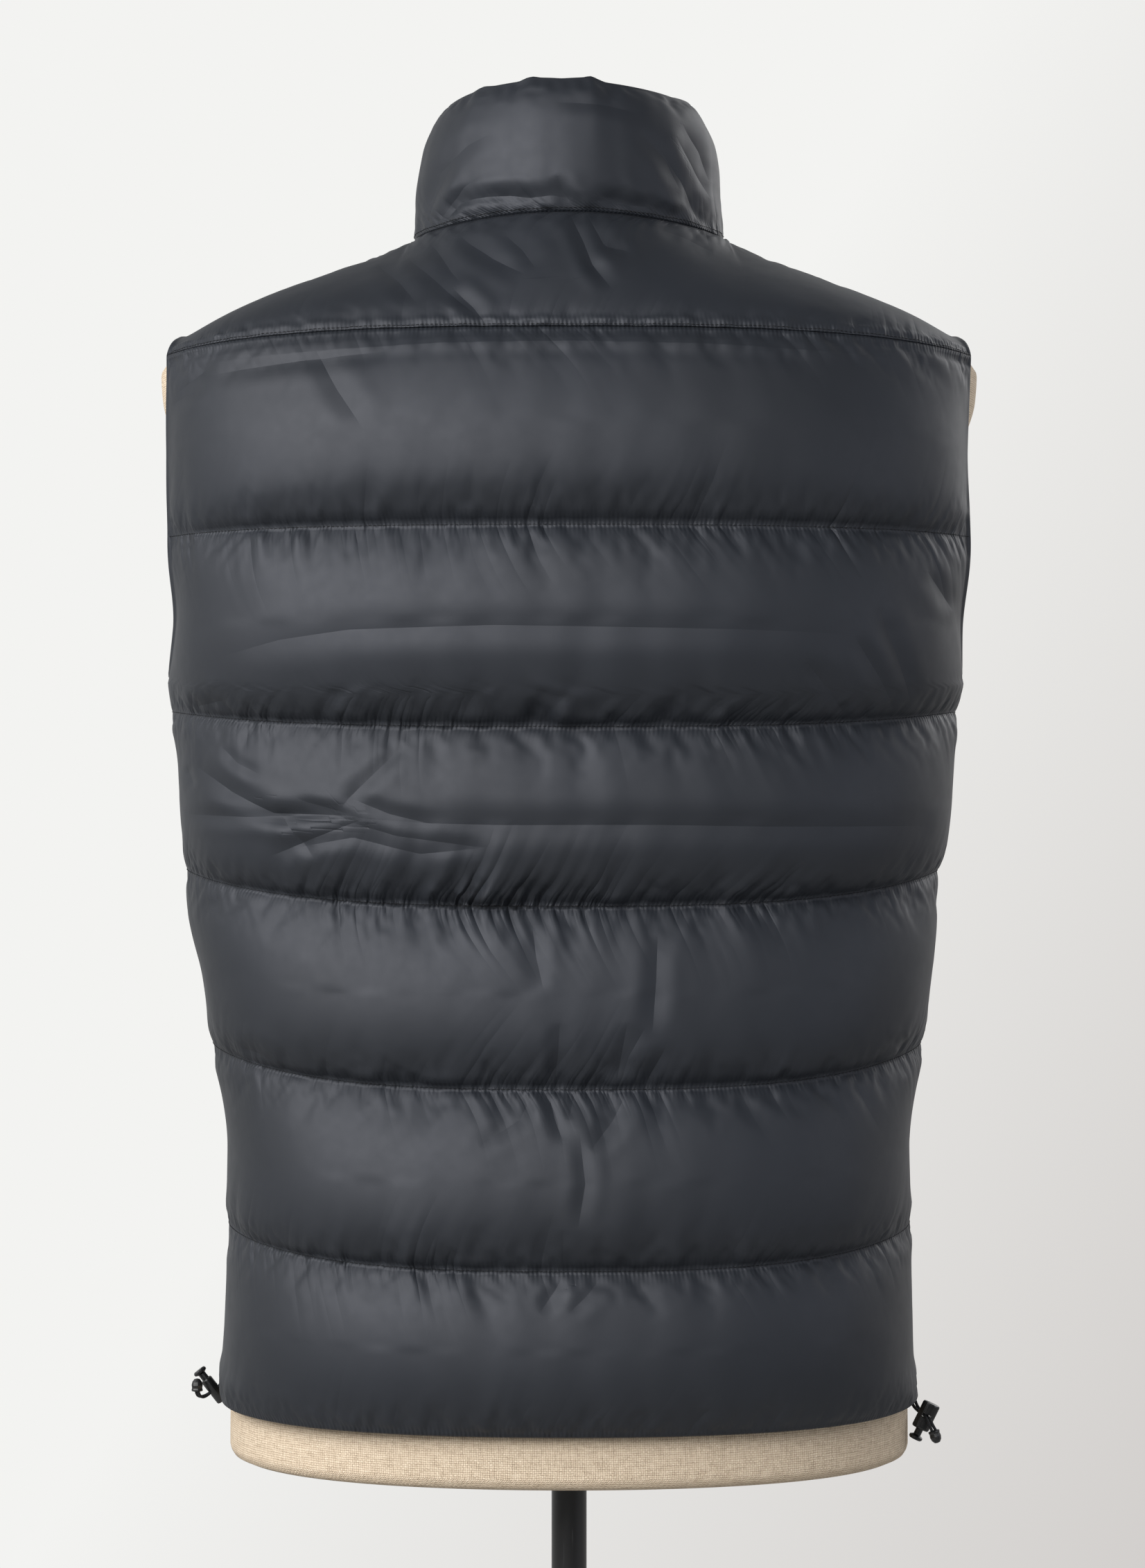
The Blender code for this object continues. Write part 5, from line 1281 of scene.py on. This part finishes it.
def crease_field(creases, x, z):
    """Creases at points seen at (x, z), in metres: the move of the surface, the signed distance from the
    nearest crease, and the depth of that crease's sharp fold.

    The surface moves by -depth (bell(d / width) - bank bell((d - beside) / width)), tapered at both ends."""
    x, z = x / MM, z / MM
    far = np.full(x.shape, FAR)
    change, gaps, offsets, depths = 0 * x, [far, far], [far, far], [0 * x, 0 * x]
    for width, depth, *points in creases:
        nearest, share, sign = crease_place(np.array(points, float), x, z)
        taper = np.clip(5 * share * (1 - share), 0.0, 1)
        trough = bell(nearest, width) - BANK[0] * bell(nearest - BANK[1] * width, width)
        change -= GEOMETRY_SHARE * depth * taper * trough
        gaps.append(nearest)
        offsets.append(sign * nearest)
        depths.append(SHARP_SHARE * depth * taper * np.clip(2 * (1 - nearest / FOLD_SIGHT), 0, 1))
    first, second = np.partition(np.array(gaps), 1, axis=0)[:2]
    pick = np.argmin(gaps, axis=0)[None]
    offset, fold = (np.take_along_axis(np.array(values), pick, axis=0)[0] for values in (offsets, depths))
    return change * MM, offset * MM, fold * fade_in(second - first, FOLD_PARTING) * MM


print("creases in each layer of the back:", [len(layer) for layer in layers_of(CREASES)])

# %% [markdown]
# ## Dressing the panels
# Now every panel gets its wrinkles, its creases and the marks that the nylon's shader reads. On the back
# some stretches of a quilt line pucker more than the rest, as the photograph shows. Beside the yoke seam
# the yoke's edge stands up and the back is drawn in.

# %% Dress the panels
# strong groups on the back: quilt line, side (1 above, -1 below), centre along the line, half-width, and
# how much stronger they are
STRONG_PUCKERS = (
    (3, 1, 0.330, 0.075, 2.4), (4, 1, 0.30, 0.07, 1.8), (2, 1, 0.36, 0.10, 0.9), (3, -1, 0.33, 0.08, 0.9),
    (2, -1, 0.31, 0.10, 0.8), (5, -1, 0.45, 0.12, 0.7), (1, 1, 0.30, 0.12, 0.5))
# beside the yoke seam, in millimetres: height, distance from the seam, half-width
LEDGES = {"yoke": ((0.9, 2.6, 2.0),), "back": ((0.5, 7.5, 1.4), (-0.5, 4.0, 2.2))}
PANEL_CREASES = {"back": CREASES, "yoke": CREASES, "collar": COLLAR_CREASES}
WRINKLES_FROM = (3.2 * MM, 4 * MM)   # wrinkles need so much down under them, and stand fully so much above
CREASES_FROM = (3 * MM, 5 * MM)      # the same for creases
SIDE_CLEAR = 0.006           # wrinkles and creases fade over this distance to a panel's side edges


def pucker_strength(name, line, side, along):
    """How strongly a side of a quilt line puckers, by the way along it. The hem and the yoke are weak."""
    value = np.where((line == 0) | (line == YOKE), 0.5, 1.0) + 0 * along
    if name == "back":
        for at, way, centre, half, more in STRONG_PUCKERS:
            here = (line == at) & (side == way)
            value = value + here * more * bell(along - centre, half)
    return value


def collar_wrinkles(along, up, outer, seed):
    """Wrinkles of the collar: strong above its seam at the centre back, weak below its top edge."""
    strength = 1 + 0.8 * bell(outer[..., 0], 0.05) * (outer[..., 1] > 0)
    lumps = drift(along, up, 0.030, seed) * 0.3 * MM * fade_in(np.minimum(up, up[-1] - up), COLLAR_EDGE)
    return (seam_wrinkles(along, up, seed, strength)
            + 0.25 * seam_wrinkles(along, up[-1] - up, seed + 5, np.ones(up.shape)) + lumps)


def dress(name, seed):
    """Levels of a panel's rows, its final outer points, never nearer than the bare cloth, and its marks:
    how strongly it gathers, and in each layer of folds the distance from a fold and its depth."""
    inner, way, outer = panels[name]
    rise = np.sum((outer - inner) * way, axis=-1)
    run, up = row_distance(inner), arc_down(inner)
    strength_of = partial(pucker_strength, name)
    if name == "collar":
        levels = np.linspace(NECK, NECK + 1, len(inner))
        height = collar_wrinkles(run, up, outer, seed)
    else:
        levels = (YOKE if name == "yoke" else 0) + np.arange(len(inner)) / FINE_ROWS
        height = panel_wrinkles(run, up, levels, seed, strength_of)
    sides = fade_in(edge_distance(inner), SIDE_CLEAR)
    height = height * fade_in(rise - WRINKLES_FROM[0], WRINKLES_FROM[1]) * sides

    folds = []
    shown = fade_in(rise - CREASES_FROM[0], CREASES_FROM[1]) * sides * (outer[..., 1] > 0)
    for layer in layers_of(PANEL_CREASES.get(name, [])):
        change, offset, fold_depth = crease_field(layer, outer[..., 0], outer[..., 2])
        height += change * shown
        folds += [offset, fold_depth * shown]
    off_yoke = up[-1] - up if name == "back" else up
    for size, centre, half in LEDGES.get(name, ()):
        height += size * MM * bell(off_yoke - centre * MM, half * MM) * sides
    height = np.maximum(height, THINNEST - rise)

    line = np.round(levels)[:, None]
    gathered = strength_of(line, np.where(levels[:, None] < line, -1, 1), run)
    gathered = gathered * np.clip(0.75 + 0.6 * wander(run + 0.37 * line, 0.03, seed), 0.1, 1.8)
    return levels, outer + way * height[..., None], gathered * sides, *folds


dressed = {name: dress(name, 100 * (k + 1)) for k, name in enumerate(panels)}
for name, (levels, outer, *marks) in dressed.items():
    moved = np.linalg.norm(outer - panels[name][2], axis=-1)
    print(name, "moved by up to", round(moved.max() / MM, 1), "mm,", len(marks), "marks")

# %% [markdown]
# ## Closed walls
# A panel is closed like the real one: its quilted outside, a plain inside, and an edge between them. At
# the hem, the armholes and the top of the collar the edge is folded round, so it is a half round; at a
# seam it is flat. The inside is far coarser, because nothing but the form is near it.

# %% Wall
EDGE_STEPS = 5               # strips from the outside round to the inside
INSIDE_STEP = 12             # the inside keeps every twelfth row and column


def edge_arc(outside, inside, away, bulge):
    """Rows from an outer edge round to the inner edge: centre + half cos a + away |half| bulge sin a."""
    centre, half = (outside + inside) / 2, (outside - inside) / 2
    angle = np.linspace(0, math.pi, EDGE_STEPS + 1)[:, None, None]
    reach = (np.linalg.norm(half, axis=-1) * bulge)[None, :, None]
    return centre + half * np.cos(angle) + away[None] * reach * np.sin(angle)


def inside_faces(inside, row_steps, column_steps):
    """Faces of the coarse inside, from the numbers of its points. Those at its rim have the rim's points."""
    faces = []
    for r0, r1 in zip(row_steps[:-1], row_steps[1:]):
        for c0, c1 in zip(column_steps[:-1], column_steps[1:]):
            low = inside[r0, c0:c1 + 1] if r0 == 0 else inside[r0, [c0, c1]]
            high = inside[r1, c0:c1 + 1] if r1 == row_steps[-1] else inside[r1, [c0, c1]]
            left = inside[r0:r1 + 1, c0] if c0 == 0 else inside[[r0, r1], c0]
            right = inside[r0:r1 + 1, c1] if c1 == column_steps[-1] else inside[[r0, r1], c1]
            faces.append([*low, *right[1:], *high[::-1][1:], *left[::-1][1:-1]])
    return faces


def seam_distance(name, levels, up):
    """Distance of each point from the nearest quilt line, along its column. The collar's top counts less."""
    if name == "collar":
        return np.minimum(up, up[-1] - up + 0.05)
    seam_row = np.array([np.argmin(np.abs(levels - line)) for line in np.round(levels)])
    return np.abs(up - up[seam_row])


def quilted_wall(name, bulges):
    """Close a panel. bulges are for its bottom, top, first column and last column, as shares of half its
    thickness. Returns its points, its faces, and the marks at its points."""
    inner = panels[name][0]
    levels, outer, *own_marks = dressed[name]
    rows, columns = outer.shape[:2]
    numbers = np.arange(rows * columns).reshape(rows, columns)
    inside, coarse = np.full((rows, columns), -1), np.zeros((rows, columns), bool)
    row_steps, column_steps = (np.unique(np.r_[np.arange(0, count, INSIDE_STEP), count - 1])
                               for count in (rows, columns))
    coarse[np.ix_(row_steps, column_steps)] = True
    coarse[[0, -1]] = coarse[:, [0, -1]] = True
    inside[coarse] = rows * columns + np.arange(coarse.sum())

    along, up = row_distance(inner), arc_down(inner)
    marks = np.stack([along, up, seam_distance(name, levels, up), *own_marks], -1)
    fields = [marks.reshape(-1, marks.shape[-1]), marks[coarse]]
    points = [outer.reshape(-1, 3), inner[coarse]]
    faces = [grid_faces(rows, columns)]
    first = rows * columns + int(coarse.sum())

    edges, every = [], slice(None)
    picks = ((0, every), (-1, every), (every, 0), (every, -1))
    besides = ((2, every), (-3, every), (every, 2), (every, -3))
    for pick, beside, bulge in zip(picks, besides, bulges):
        away = unit(inner[pick] - inner[beside])
        count = len(away)
        arc = edge_arc(outer[pick], inner[pick], away, np.broadcast_to(bulge, count))[1:-1]
        between_them = first + np.arange((EDGE_STEPS - 1) * count).reshape(-1, count)
        ids = np.vstack([numbers[pick], between_them, inside[pick]])
        edges.append(ids)
        points.append(arc.reshape(-1, 3))
        fields.append(np.tile(marks[pick], (EDGE_STEPS - 1, 1)))
        first += (EDGE_STEPS - 1) * count
        faces.append(np.stack([ids[:-1, :-1], ids[:-1, 1:], ids[1:, 1:], ids[1:, :-1]], -1).reshape(-1, 4))
    faces = np.concatenate(faces).tolist()
    bottom, top, start, end = edges
    for one, other in ((bottom[:, 0], start[:, 0]), (bottom[:, -1], end[:, 0]),
                       (top[:, 0], start[:, -1]), (top[:, -1], end[:, -1])):
        for k in range(EDGE_STEPS):
            faces.append(list(dict.fromkeys([one[k], one[k + 1], other[k + 1], other[k]])))
    faces += inside_faces(inside, row_steps, column_steps)
    return np.concatenate(points), faces, np.concatenate(fields)


def map_from_attributes(piece):
    """UV map in metres from the attributes along and up."""
    mesh = piece.data
    corner = np.empty(len(mesh.loops), int)
    mesh.loops.foreach_get("vertex_index", corner)
    place = []
    for key in ("along", "up"):
        values = np.empty(len(mesh.vertices), np.float32)
        mesh.attributes[key].data.foreach_get("value", values)
        place.append(values[corner])
    layer = mesh.uv_layers.new(name="UVMap")
    layer.data.foreach_set("uv", np.stack(place, 1).ravel())


# %% Five walls
FOLD, ZIP_FOLD, FLAT = 0.9, 0.5, 0.0
armhole = {name: np.where((levels > ARMHOLE_LEVEL + 0.02) & (levels < NECK), FOLD, FLAT)
           for name, (levels, *rest) in dressed.items()}
for name, node, bulges in (
        ("back", "back_panel", (FOLD, FLAT, armhole["back"], armhole["back"])),
        ("yoke", "back_yoke", (FLAT, FLAT, armhole["yoke"], armhole["yoke"])),
        ("front_left", "front_left", (FOLD, FLAT, armhole["front_left"], ZIP_FOLD)),
        ("front_right", "front_right", (FOLD, FLAT, armhole["front_right"], ZIP_FOLD)),
        ("collar", "collar", (FLAT, FOLD, ZIP_FOLD, ZIP_FOLD))):
    points, faces, marks = quilted_wall(name, bulges)
    wall = add_piece(f"{name}_shell", points, faces, NYLON)
    for k, key in enumerate(("along", "up", "seam", "gathered", *FOLD_NAMES)):
        add_attribute(wall, key, marks[:, k])
    weld(wall, 0.002 * MM)
    wall.data.shade_smooth()
    map_from_attributes(wall)
    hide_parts(node)
    print(name, len(wall.data.vertices), "points,", len(wall.data.polygons), "faces")

# %% [markdown]
# ## The dress form
# The torso is a stack of sections under a tight linen cover. Its cover is sewn from panels: two seams
# run down the back, two down the sides, and one goes round under the shoulder caps.

# %% Form
FORM = table(
    "height half_width back front",
    (0.8000, 0.1925, 0.1285, 0.1145),
    (0.8018, 0.1965, 0.1325, 0.1185),
    (0.8065, 0.1985, 0.1345, 0.1205),
    (0.8300, 0.1983, 0.1350, 0.1200),
    (0.8700, 0.1930, 0.1365, 0.1175),
    (0.9200, 0.1895, 0.1350, 0.1145),
    (0.9800, 0.1800, 0.1250, 0.1120),
    (1.0600, 0.1650, 0.1070, 0.1120),
    (1.1600, 0.1690, 0.1120, 0.1180),
    (1.2600, 0.1840, 0.1300, 0.1280),
    (1.3200, 0.1970, 0.1370, 0.1270),
    (1.3700, 0.2190, 0.1370, 0.1200),
    (1.3950, 0.2320, 0.1340, 0.1130),
    (1.4150, 0.2380, 0.1300, 0.1060),
    (1.4300, 0.2390, 0.1250, 0.1000),
    (1.4400, 0.2320, 0.1210, 0.0970),
    (1.4470, 0.2180, 0.1170, 0.0950),
    (1.4560, 0.1860, 0.1090, 0.0880),
    (1.4720, 0.1400, 0.0970, 0.0790),
    (1.4900, 0.0920, 0.0820, 0.0670),
    (1.5060, 0.0700, 0.0710, 0.0590),
    (1.5300, 0.0620, 0.0650, 0.0560),
    (1.5620, 0.0620, 0.0640, 0.0570),
)
FORM_COLUMNS = 240
RING_STEP = 4 * MM
FORM_FULLNESS = 0.06
BACK_SEAM = math.radians(24.5)       # of the two seams at the back, and the same at the front
CAP_SEAM_HEIGHT = 1.4365
CAP_BREADTH = 0.2            # the cap seam is only further out than this
HEM_SEAM = 6 * MM            # way up from the torso's foot to its hem seam


def make_form():
    """Linen torso: rings at even steps and at the table's own heights, with the distance to a seam."""
    low, high = FORM["height"][[0, -1]]
    heights = np.unique(np.round(np.concatenate([FORM["height"], np.arange(low, high, RING_STEP)]), 5))
    angle = np.arange(FORM_COLUMNS + 1) / FORM_COLUMNS * 2 * math.pi + math.pi
    size = {side: monotone(heights, FORM["height"], FORM[side])[:, None]
            for side in ("half_width", "back", "front")}
    depth = np.where(np.cos(angle) > 0, size["back"], size["front"])
    x, y = rounded_section(angle, size["half_width"], depth, FORM_FULLNESS)
    grid = np.stack([x, y, np.broadcast_to(heights[:, None], x.shape)], -1)
    round_way, up = row_distance(grid), arc_down(grid)
    turn = (angle + math.pi) % (2 * math.pi) - math.pi
    seams = [np.abs(np.abs(turn) - at) * np.hypot(x, y)
             for at in (BACK_SEAM, math.pi / 2, math.pi - BACK_SEAM)]
    cap_seam = np.abs(heights[:, None] - CAP_SEAM_HEIGHT) + np.where(np.abs(x) < CAP_BREADTH, 1.0, 0.0)
    near = np.min([*seams, cap_seam, np.abs(up - HEM_SEAM)], axis=0)
    rows, columns = x.shape
    ends = [list(range(columns - 1)), list(reversed(range((rows - 1) * columns, rows * columns - 1)))]
    piece = add_piece("linen_torso", grid, grid_faces(rows, columns).tolist() + ends, LINEN,
                      uv=np.stack([round_way, up], -1))
    add_attribute(piece, "seam", near)
    weld(piece, 0.01 * MM)
    piece.data.set_sharp_from_angle(angle=math.radians(60))
    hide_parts("form_torso")
    print("torso:", rows, "rings")


make_form()

# %% [markdown]
# ## Stand
# Pole, base and neck cap are turned: a profile of radius and height, swept round the axis. Their outer
# sizes come from the solids, and small radii are added at the edges.

# %% Turned pieces
def turned(name, profile, material, node, segments=96, sharp=35):
    """A turned solid from a profile (radius, height) that starts and ends on the axis."""
    profile = np.array(profile, float)
    angle = np.arange(segments) / segments * 2 * math.pi
    ring = profile[1:-1]
    points = np.stack([ring[:, :1] * np.cos(angle), ring[:, :1] * np.sin(angle),
                       np.broadcast_to(ring[:, 1:], (len(ring), segments))], -1).reshape(-1, 3)
    points = np.concatenate([points, [[0, 0, profile[0, 1]], [0, 0, profile[-1, 1]]]])
    faces = ring_faces(len(ring), segments, flip=True)
    piece = add_piece(name, points, faces, material, sharp=sharp)
    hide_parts(node)
    print(name, len(faces), "faces")


def arc_profile(centre, radius, start, end, steps=8):
    """Points of an arc in a profile: centre (radius, height), angles in degrees."""
    angle = np.radians(np.linspace(start, end, steps))
    return [(centre[0] + radius * math.cos(a), centre[1] + radius * math.sin(a)) for a in angle]


# %% Pole, base and cap
pole_low, pole_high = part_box("form_pole")
base_low, base_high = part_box("form_base")
cap_low, cap_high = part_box("form_neck_cap")
CHAMFER = 0.4 * MM
turned("steel_pole", [
    (0, pole_high.z), (pole_high.x - CHAMFER, pole_high.z), (pole_high.x, pole_high.z - CHAMFER),
    (pole_high.x, pole_low.z + CHAMFER), (pole_high.x - CHAMFER, pole_low.z), (0, pole_low.z)],
       COAT, "form_pole")
turned("steel_base", [
    (0, base_high.z), *arc_profile((0.021, base_high.z - 3 * MM), 3 * MM, 90, 0),
    (0.024, 0.031), *arc_profile((0.036, 0.029), 12 * MM, 180, 262, 12), (0.090, 0.0130),
    *arc_profile((base_high.x - 4 * MM, 0.006), 4 * MM, 88, 0),
    *arc_profile((base_high.x - 1 * MM, 0.001), 1 * MM, 0, -90, 5), (0, 0)],
       COAT, "form_base")
turned("wooden_neck_cap", [
    (0, cap_high.z), (0.010, cap_high.z - 0.05 * MM), (0.030, cap_high.z - 0.5 * MM),
    (0.042, cap_high.z - 1.7 * MM),
    *arc_profile((0.0500, cap_low.z + 4.0 * MM), 6.0 * MM, 68, 0, 10), (0.0560, cap_low.z), (0, cap_low.z)],
       WOOD, "form_neck_cap")

# %% [markdown]
# ## Zip
# A moulded-tooth zip closes the centre front. Its tapes are woven, its teeth stand 2.8 mm apart and grip
# between each other, and each tooth is a small block with rounded corners. The slider, its pull and the
# box at the foot keep the solids' shapes.

# %% Zip
TAPE_WIDTH = 11.1 * MM
TAPE_BACK, TAPE_FACE = 1.2 * MM, 2.6 * MM        # of the tape, out from the inner surface
FLAT_FROM = 3.0 * MM         # distance from the middle at which the tape's face has a line of points
TEETH_FACE = 4.4 * MM        # of the teeth, out from the inner surface
TOOTH_PITCH = 2.8 * MM
TOOTH_SIZE = (3.6 * MM, 1.35 * MM, 2.6 * MM)     # across the zip, along it, and front to back
TOOTH_INSET = 0.3 * MM       # of its cut edges
TOOTH_OFFSET = 1.2 * MM      # of a tooth's middle from the zip's, to its own side
TEETH_FOOT, TEETH_TOP = 6 * MM, 2 * MM           # tape without teeth at both ends of their stretch
ACROSS = np.array([1.0, 0.0, 0.0])


def zip_line():
    """Centre line of the zip on the inner surface, every 2 mm, with its outward directions, its own
    directions, the way travelled along it, and where its teeth may start and end."""
    body, stand = fronts_inner[1][:, -1], collar_inner[:, -1]
    rough = np.concatenate([body[1:2], body[4::4], stand[3:-1:3], stand[-2:-1]])
    rough[:, 0] = 0
    travelled = way_along(rough)
    even = np.linspace(0, travelled[-1], int(travelled[-1] / (2 * MM)) + 1)
    line = at_way(even, travelled, rough)
    way = unit(np.gradient(line, axis=0))
    return line, np.stack([np.zeros(len(line)), -way[:, 2], way[:, 1]], 1), way, even, travelled[[1, -2]]


def rounded_block(size, inset):
    """Points and faces of a block whose twelve edges are cut back by an inset (24 points, 26 faces)."""
    shape = bmesh.new()
    bmesh.ops.create_cube(shape, size=1.0)
    bmesh.ops.scale(shape, vec=size, verts=shape.verts)
    bmesh.ops.bevel(shape, geom=shape.edges[:], offset=inset, segments=1, affect="EDGES")
    shape.verts.index_update()
    points = np.array([vertex.co for vertex in shape.verts])
    faces = [[vertex.index for vertex in face.verts] for face in shape.faces]
    shape.free()
    return points, faces


def repeat(template, centres, x_way, y_way, z_way):
    """Copies of a template at many centres, each turned to its own three directions."""
    points, faces = template
    placed = (centres[:, None] + points[None, :, :1] * x_way[:, None]
              + points[None, :, 1:2] * y_way[:, None] + points[None, :, 2:] * z_way[:, None])
    return placed.reshape(-1, 3), [[corner + k * len(points) for corner in face]
                                   for k in range(len(centres)) for face in faces]


# %% Tapes and teeth
zip_points, zip_out, zip_way, zip_run, teeth_span = zip_line()
print("zip tape:", round(zip_run[-1] / MM), "mm")
section = np.array([(0.5 * SEAM_GAP, TAPE_BACK), (TAPE_WIDTH, TAPE_BACK), (TAPE_WIDTH, TAPE_FACE),
                    (FLAT_FROM, TAPE_FACE), (0.5 * SEAM_GAP, TAPE_FACE)])      # from the middle, outwards
corners = len(section)
for side, side_name in ((1, "left"), (-1, "right")):
    points = (zip_points[:, None] + zip_out[:, None] * section[None, :, 1:]
              + ACROSS * side * section[None, :, :1])
    faces = grid_faces(len(zip_points), corners, wrap=True, flip=side < 0).tolist()
    ends = [list(range(corners)), [(len(zip_points) - 1) * corners + k for k in reversed(range(corners))]]
    ends = [end[::side] for end in ends]
    uv = np.stack(np.broadcast_arrays(zip_run[:, None], section.sum(axis=1)[None]), -1)
    tape = add_piece(f"zip_weave_{side_name}", points, faces + ends, TAPE, uv=uv, sharp=30)
    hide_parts(f"zip_tape_{side_name}")

    first = teeth_span[0] + TEETH_FOOT + (0 if side > 0 else 0.5 * TOOTH_PITCH)
    at = np.arange(first, teeth_span[1] - TEETH_TOP, TOOTH_PITCH)
    middle, out, way = (at_way(at, zip_run, values) for values in (zip_points, zip_out, zip_way))
    centres = middle + out * (TEETH_FACE - 0.5 * TOOTH_SIZE[2]) + ACROSS * side * TOOTH_OFFSET
    tooth = rounded_block(TOOTH_SIZE, TOOTH_INSET)
    points, faces = repeat(tooth, centres, np.tile(ACROSS, (len(at), 1)), way, out)
    add_piece(f"zip_teeth_{side_name}", points, faces, ACETAL, sharp=50)
    print("teeth:", len(at))

# %% [markdown]
# ## Stitches
# Every quilt line is a row of lockstitches, 2.7 mm apart. The thread shows as short beads that dip into
# the cloth at each needle hole.

# %% Stitches
STITCH = 2.7 * MM
THREAD_RADIUS = 0.17 * MM
THREAD_LIFT = 0.15 * MM      # of a stitch's ends above the cloth


def stitch_template():
    """Points and faces of one stitch along x, bowed outwards (+z) and pinched at both ends:
    height 0.3 mm (1 - t^2) - 0.1 mm, radius r sqrt(1.08 - 0.9 t^2), with t from -1 to 1."""
    t = np.linspace(-1, 1, 5)
    path = np.stack([t * 0.42 * STITCH, 0 * t, 0.30 * MM * (1 - t**2) - 0.10 * MM], 1)
    return tube(path, THREAD_RADIUS * np.sqrt(1.08 - 0.9 * t**2), 6)[:2]


def sew(name, lines):
    """Rows of stitches along lines: each line is (points, outward directions)."""
    centres, ways, outs = [], [], []
    for line, out in lines:
        way = way_along(line)
        at = np.arange(0.7 * STITCH, way[-1] - 0.5 * STITCH, STITCH)
        middle, after = at_way(at, way, line), at_way(at + 0.5 * MM, way, line)
        centres.append(middle)
        ways.append(unit(after - middle))
        outs.append(unit(at_way(at, way, out)))
    centres, ways, outs = (np.concatenate(values) for values in (centres, ways, outs))
    beside = unit(np.cross(outs, ways))
    outs = np.cross(ways, beside)
    points, faces = repeat(stitch_template(), centres + outs * THREAD_LIFT, ways, beside, outs)
    add_piece(name, points, faces, SEWING)
    print(name, len(centres), "stitches")


def row_line(name, row):
    """A row of a panel's outer points, with its outward directions."""
    return dressed[name][1][row], panels[name][1][row]


# %% Quilt lines and seams
sew("quilt_stitches_back", [row_line("back", k * FINE_ROWS) for k in range(1, YOKE)])
for side_name in ("left", "right"):
    panel = f"front_{side_name}"
    sew(f"quilt_stitches_{side_name}", [row_line(panel, k * FINE_ROWS) for k in range(1, NECK)])
sew("yoke_stitches", [row_line("yoke", 1)])
sew("collar_stitches", [row_line("collar", 1)])

# %% [markdown]
# ## Parts that keep the solids' shapes
# The cord locks, cord ends and the zip's metal parts are finished by their materials alone.

# %% Finishes of the solids
finishes = {node: ENAMEL for node in ("zip_slider", "zip_pull", "zip_box")}
finishes.update({f"cord_{part}_{side_name}": NYLON_MOULDED
                 for part in ("lock", "plunger", "end") for side_name in ("left", "right")})
for node, material in finishes.items():
    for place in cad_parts[node].material_slots:
        place.material = material
print("finished solids:", ", ".join(finishes))

# %% [markdown]
# ## Studio
# The photograph was taken before a plain, nearly white backdrop, with a large soft light from the upper
# left and a weak one from the right. A narrow strip beside the large light softens its edge, and a light
# in front lights the vest's other side. The backdrop is pale behind the vest, dull on the camera's side
# and overhead, and a little warmer in one lower corner. The floor lies below the picture.

# %% Backdrop
scene = bpy.context.scene
scene.view_settings.view_transform = "Standard"
world = bpy.data.worlds.new("backdrop")
scene.world = world
world.use_nodes = True
add = partial(add_node, world.node_tree)
direction = add("SeparateXYZ", {"Vector": add("TexCoord").outputs["Generated"]}).outputs
towards_camera = add("MapRange", {"Value": direction["Y"], "From Min": -0.55, "From Max": 0.55})
sky = add("ValToRGB", {"Fac": towards_camera}, ((0.0, "#f3f3f1"), (1.0, "#4c4d51")))
below = add("Math", (direction["Z"], -0.6), operation="MULTIPLY")
to_corner = add("Math", (direction["X"], -1.0, below), operation="MULTIPLY_ADD")
corner = add("MapRange", {"Value": to_corner, "From Min": -0.02, "From Max": 0.28, "To Max": 0.9})
sky = add("Mix", {"Factor": corner, "A": sky, "B": linear("#d6d2d1")},
          data_type="RGBA", blend_type="MULTIPLY")
overhead = add("MapRange", {"Value": direction["Z"], "From Min": 0.25, "From Max": 0.85})
sky = add("Mix", {"Factor": overhead, "A": sky, "B": linear("#646568")}, data_type="RGBA")
connect(world.node_tree.nodes["Background"], {"Color": sky})
print("backdrop nodes:", len(world.node_tree.nodes))

# %% Floor
floor_mesh = bpy.data.meshes.new("floor")
floor_mesh.from_pydata([(-3, -3, 0), (3, -3, 0), (3, 3, 0), (-3, 3, 0)], [], [(0, 1, 2, 3)])
floor_mesh.materials.append(
    new_material("pale_floor", Base_Color=linear("#b0afac"), Roughness=0.8, Metallic=0.0)[0])
floor = bpy.data.objects.new("floor", floor_mesh)
scene.collection.objects.link(floor)
print("floor:", tuple(floor.dimensions))


# %% Lights
def area_light(name, place, target, size, power, colour):
    """A rectangular area light (width, height) that looks at a point."""
    data = bpy.data.lights.new(name, "AREA")
    data.shape = "RECTANGLE"
    data.size, data.size_y = size
    data.energy = power
    data.color = linear(colour)[:3]
    lamp = bpy.data.objects.new(name, data)
    lamp.location = place
    lamp.rotation_euler = (Vector(target) - Vector(place)).to_track_quat("-Z", "Y").to_euler()
    scene.collection.objects.link(lamp)
    print(name, power, "W")


area_light("key", (1.75, 1.85, 2.33), (0, 0, 1.2), (3.3, 1.75), 145, "#fffefd")
area_light("key_edge", (0.05, 2.55, 2.33), (0, 0, 1.2), (1.1, 1.75), 18, "#fffefd")
area_light("fill", (-2.2, 1.0, 1.5), (0, 0, 1.2), (0.8, 1.4), 12, "#f2f6ff")
area_light("front", (-2.2, -2.0, 2.6), (0, 0, 1.2), (1.8, 1.8), 40, "#ffffff")
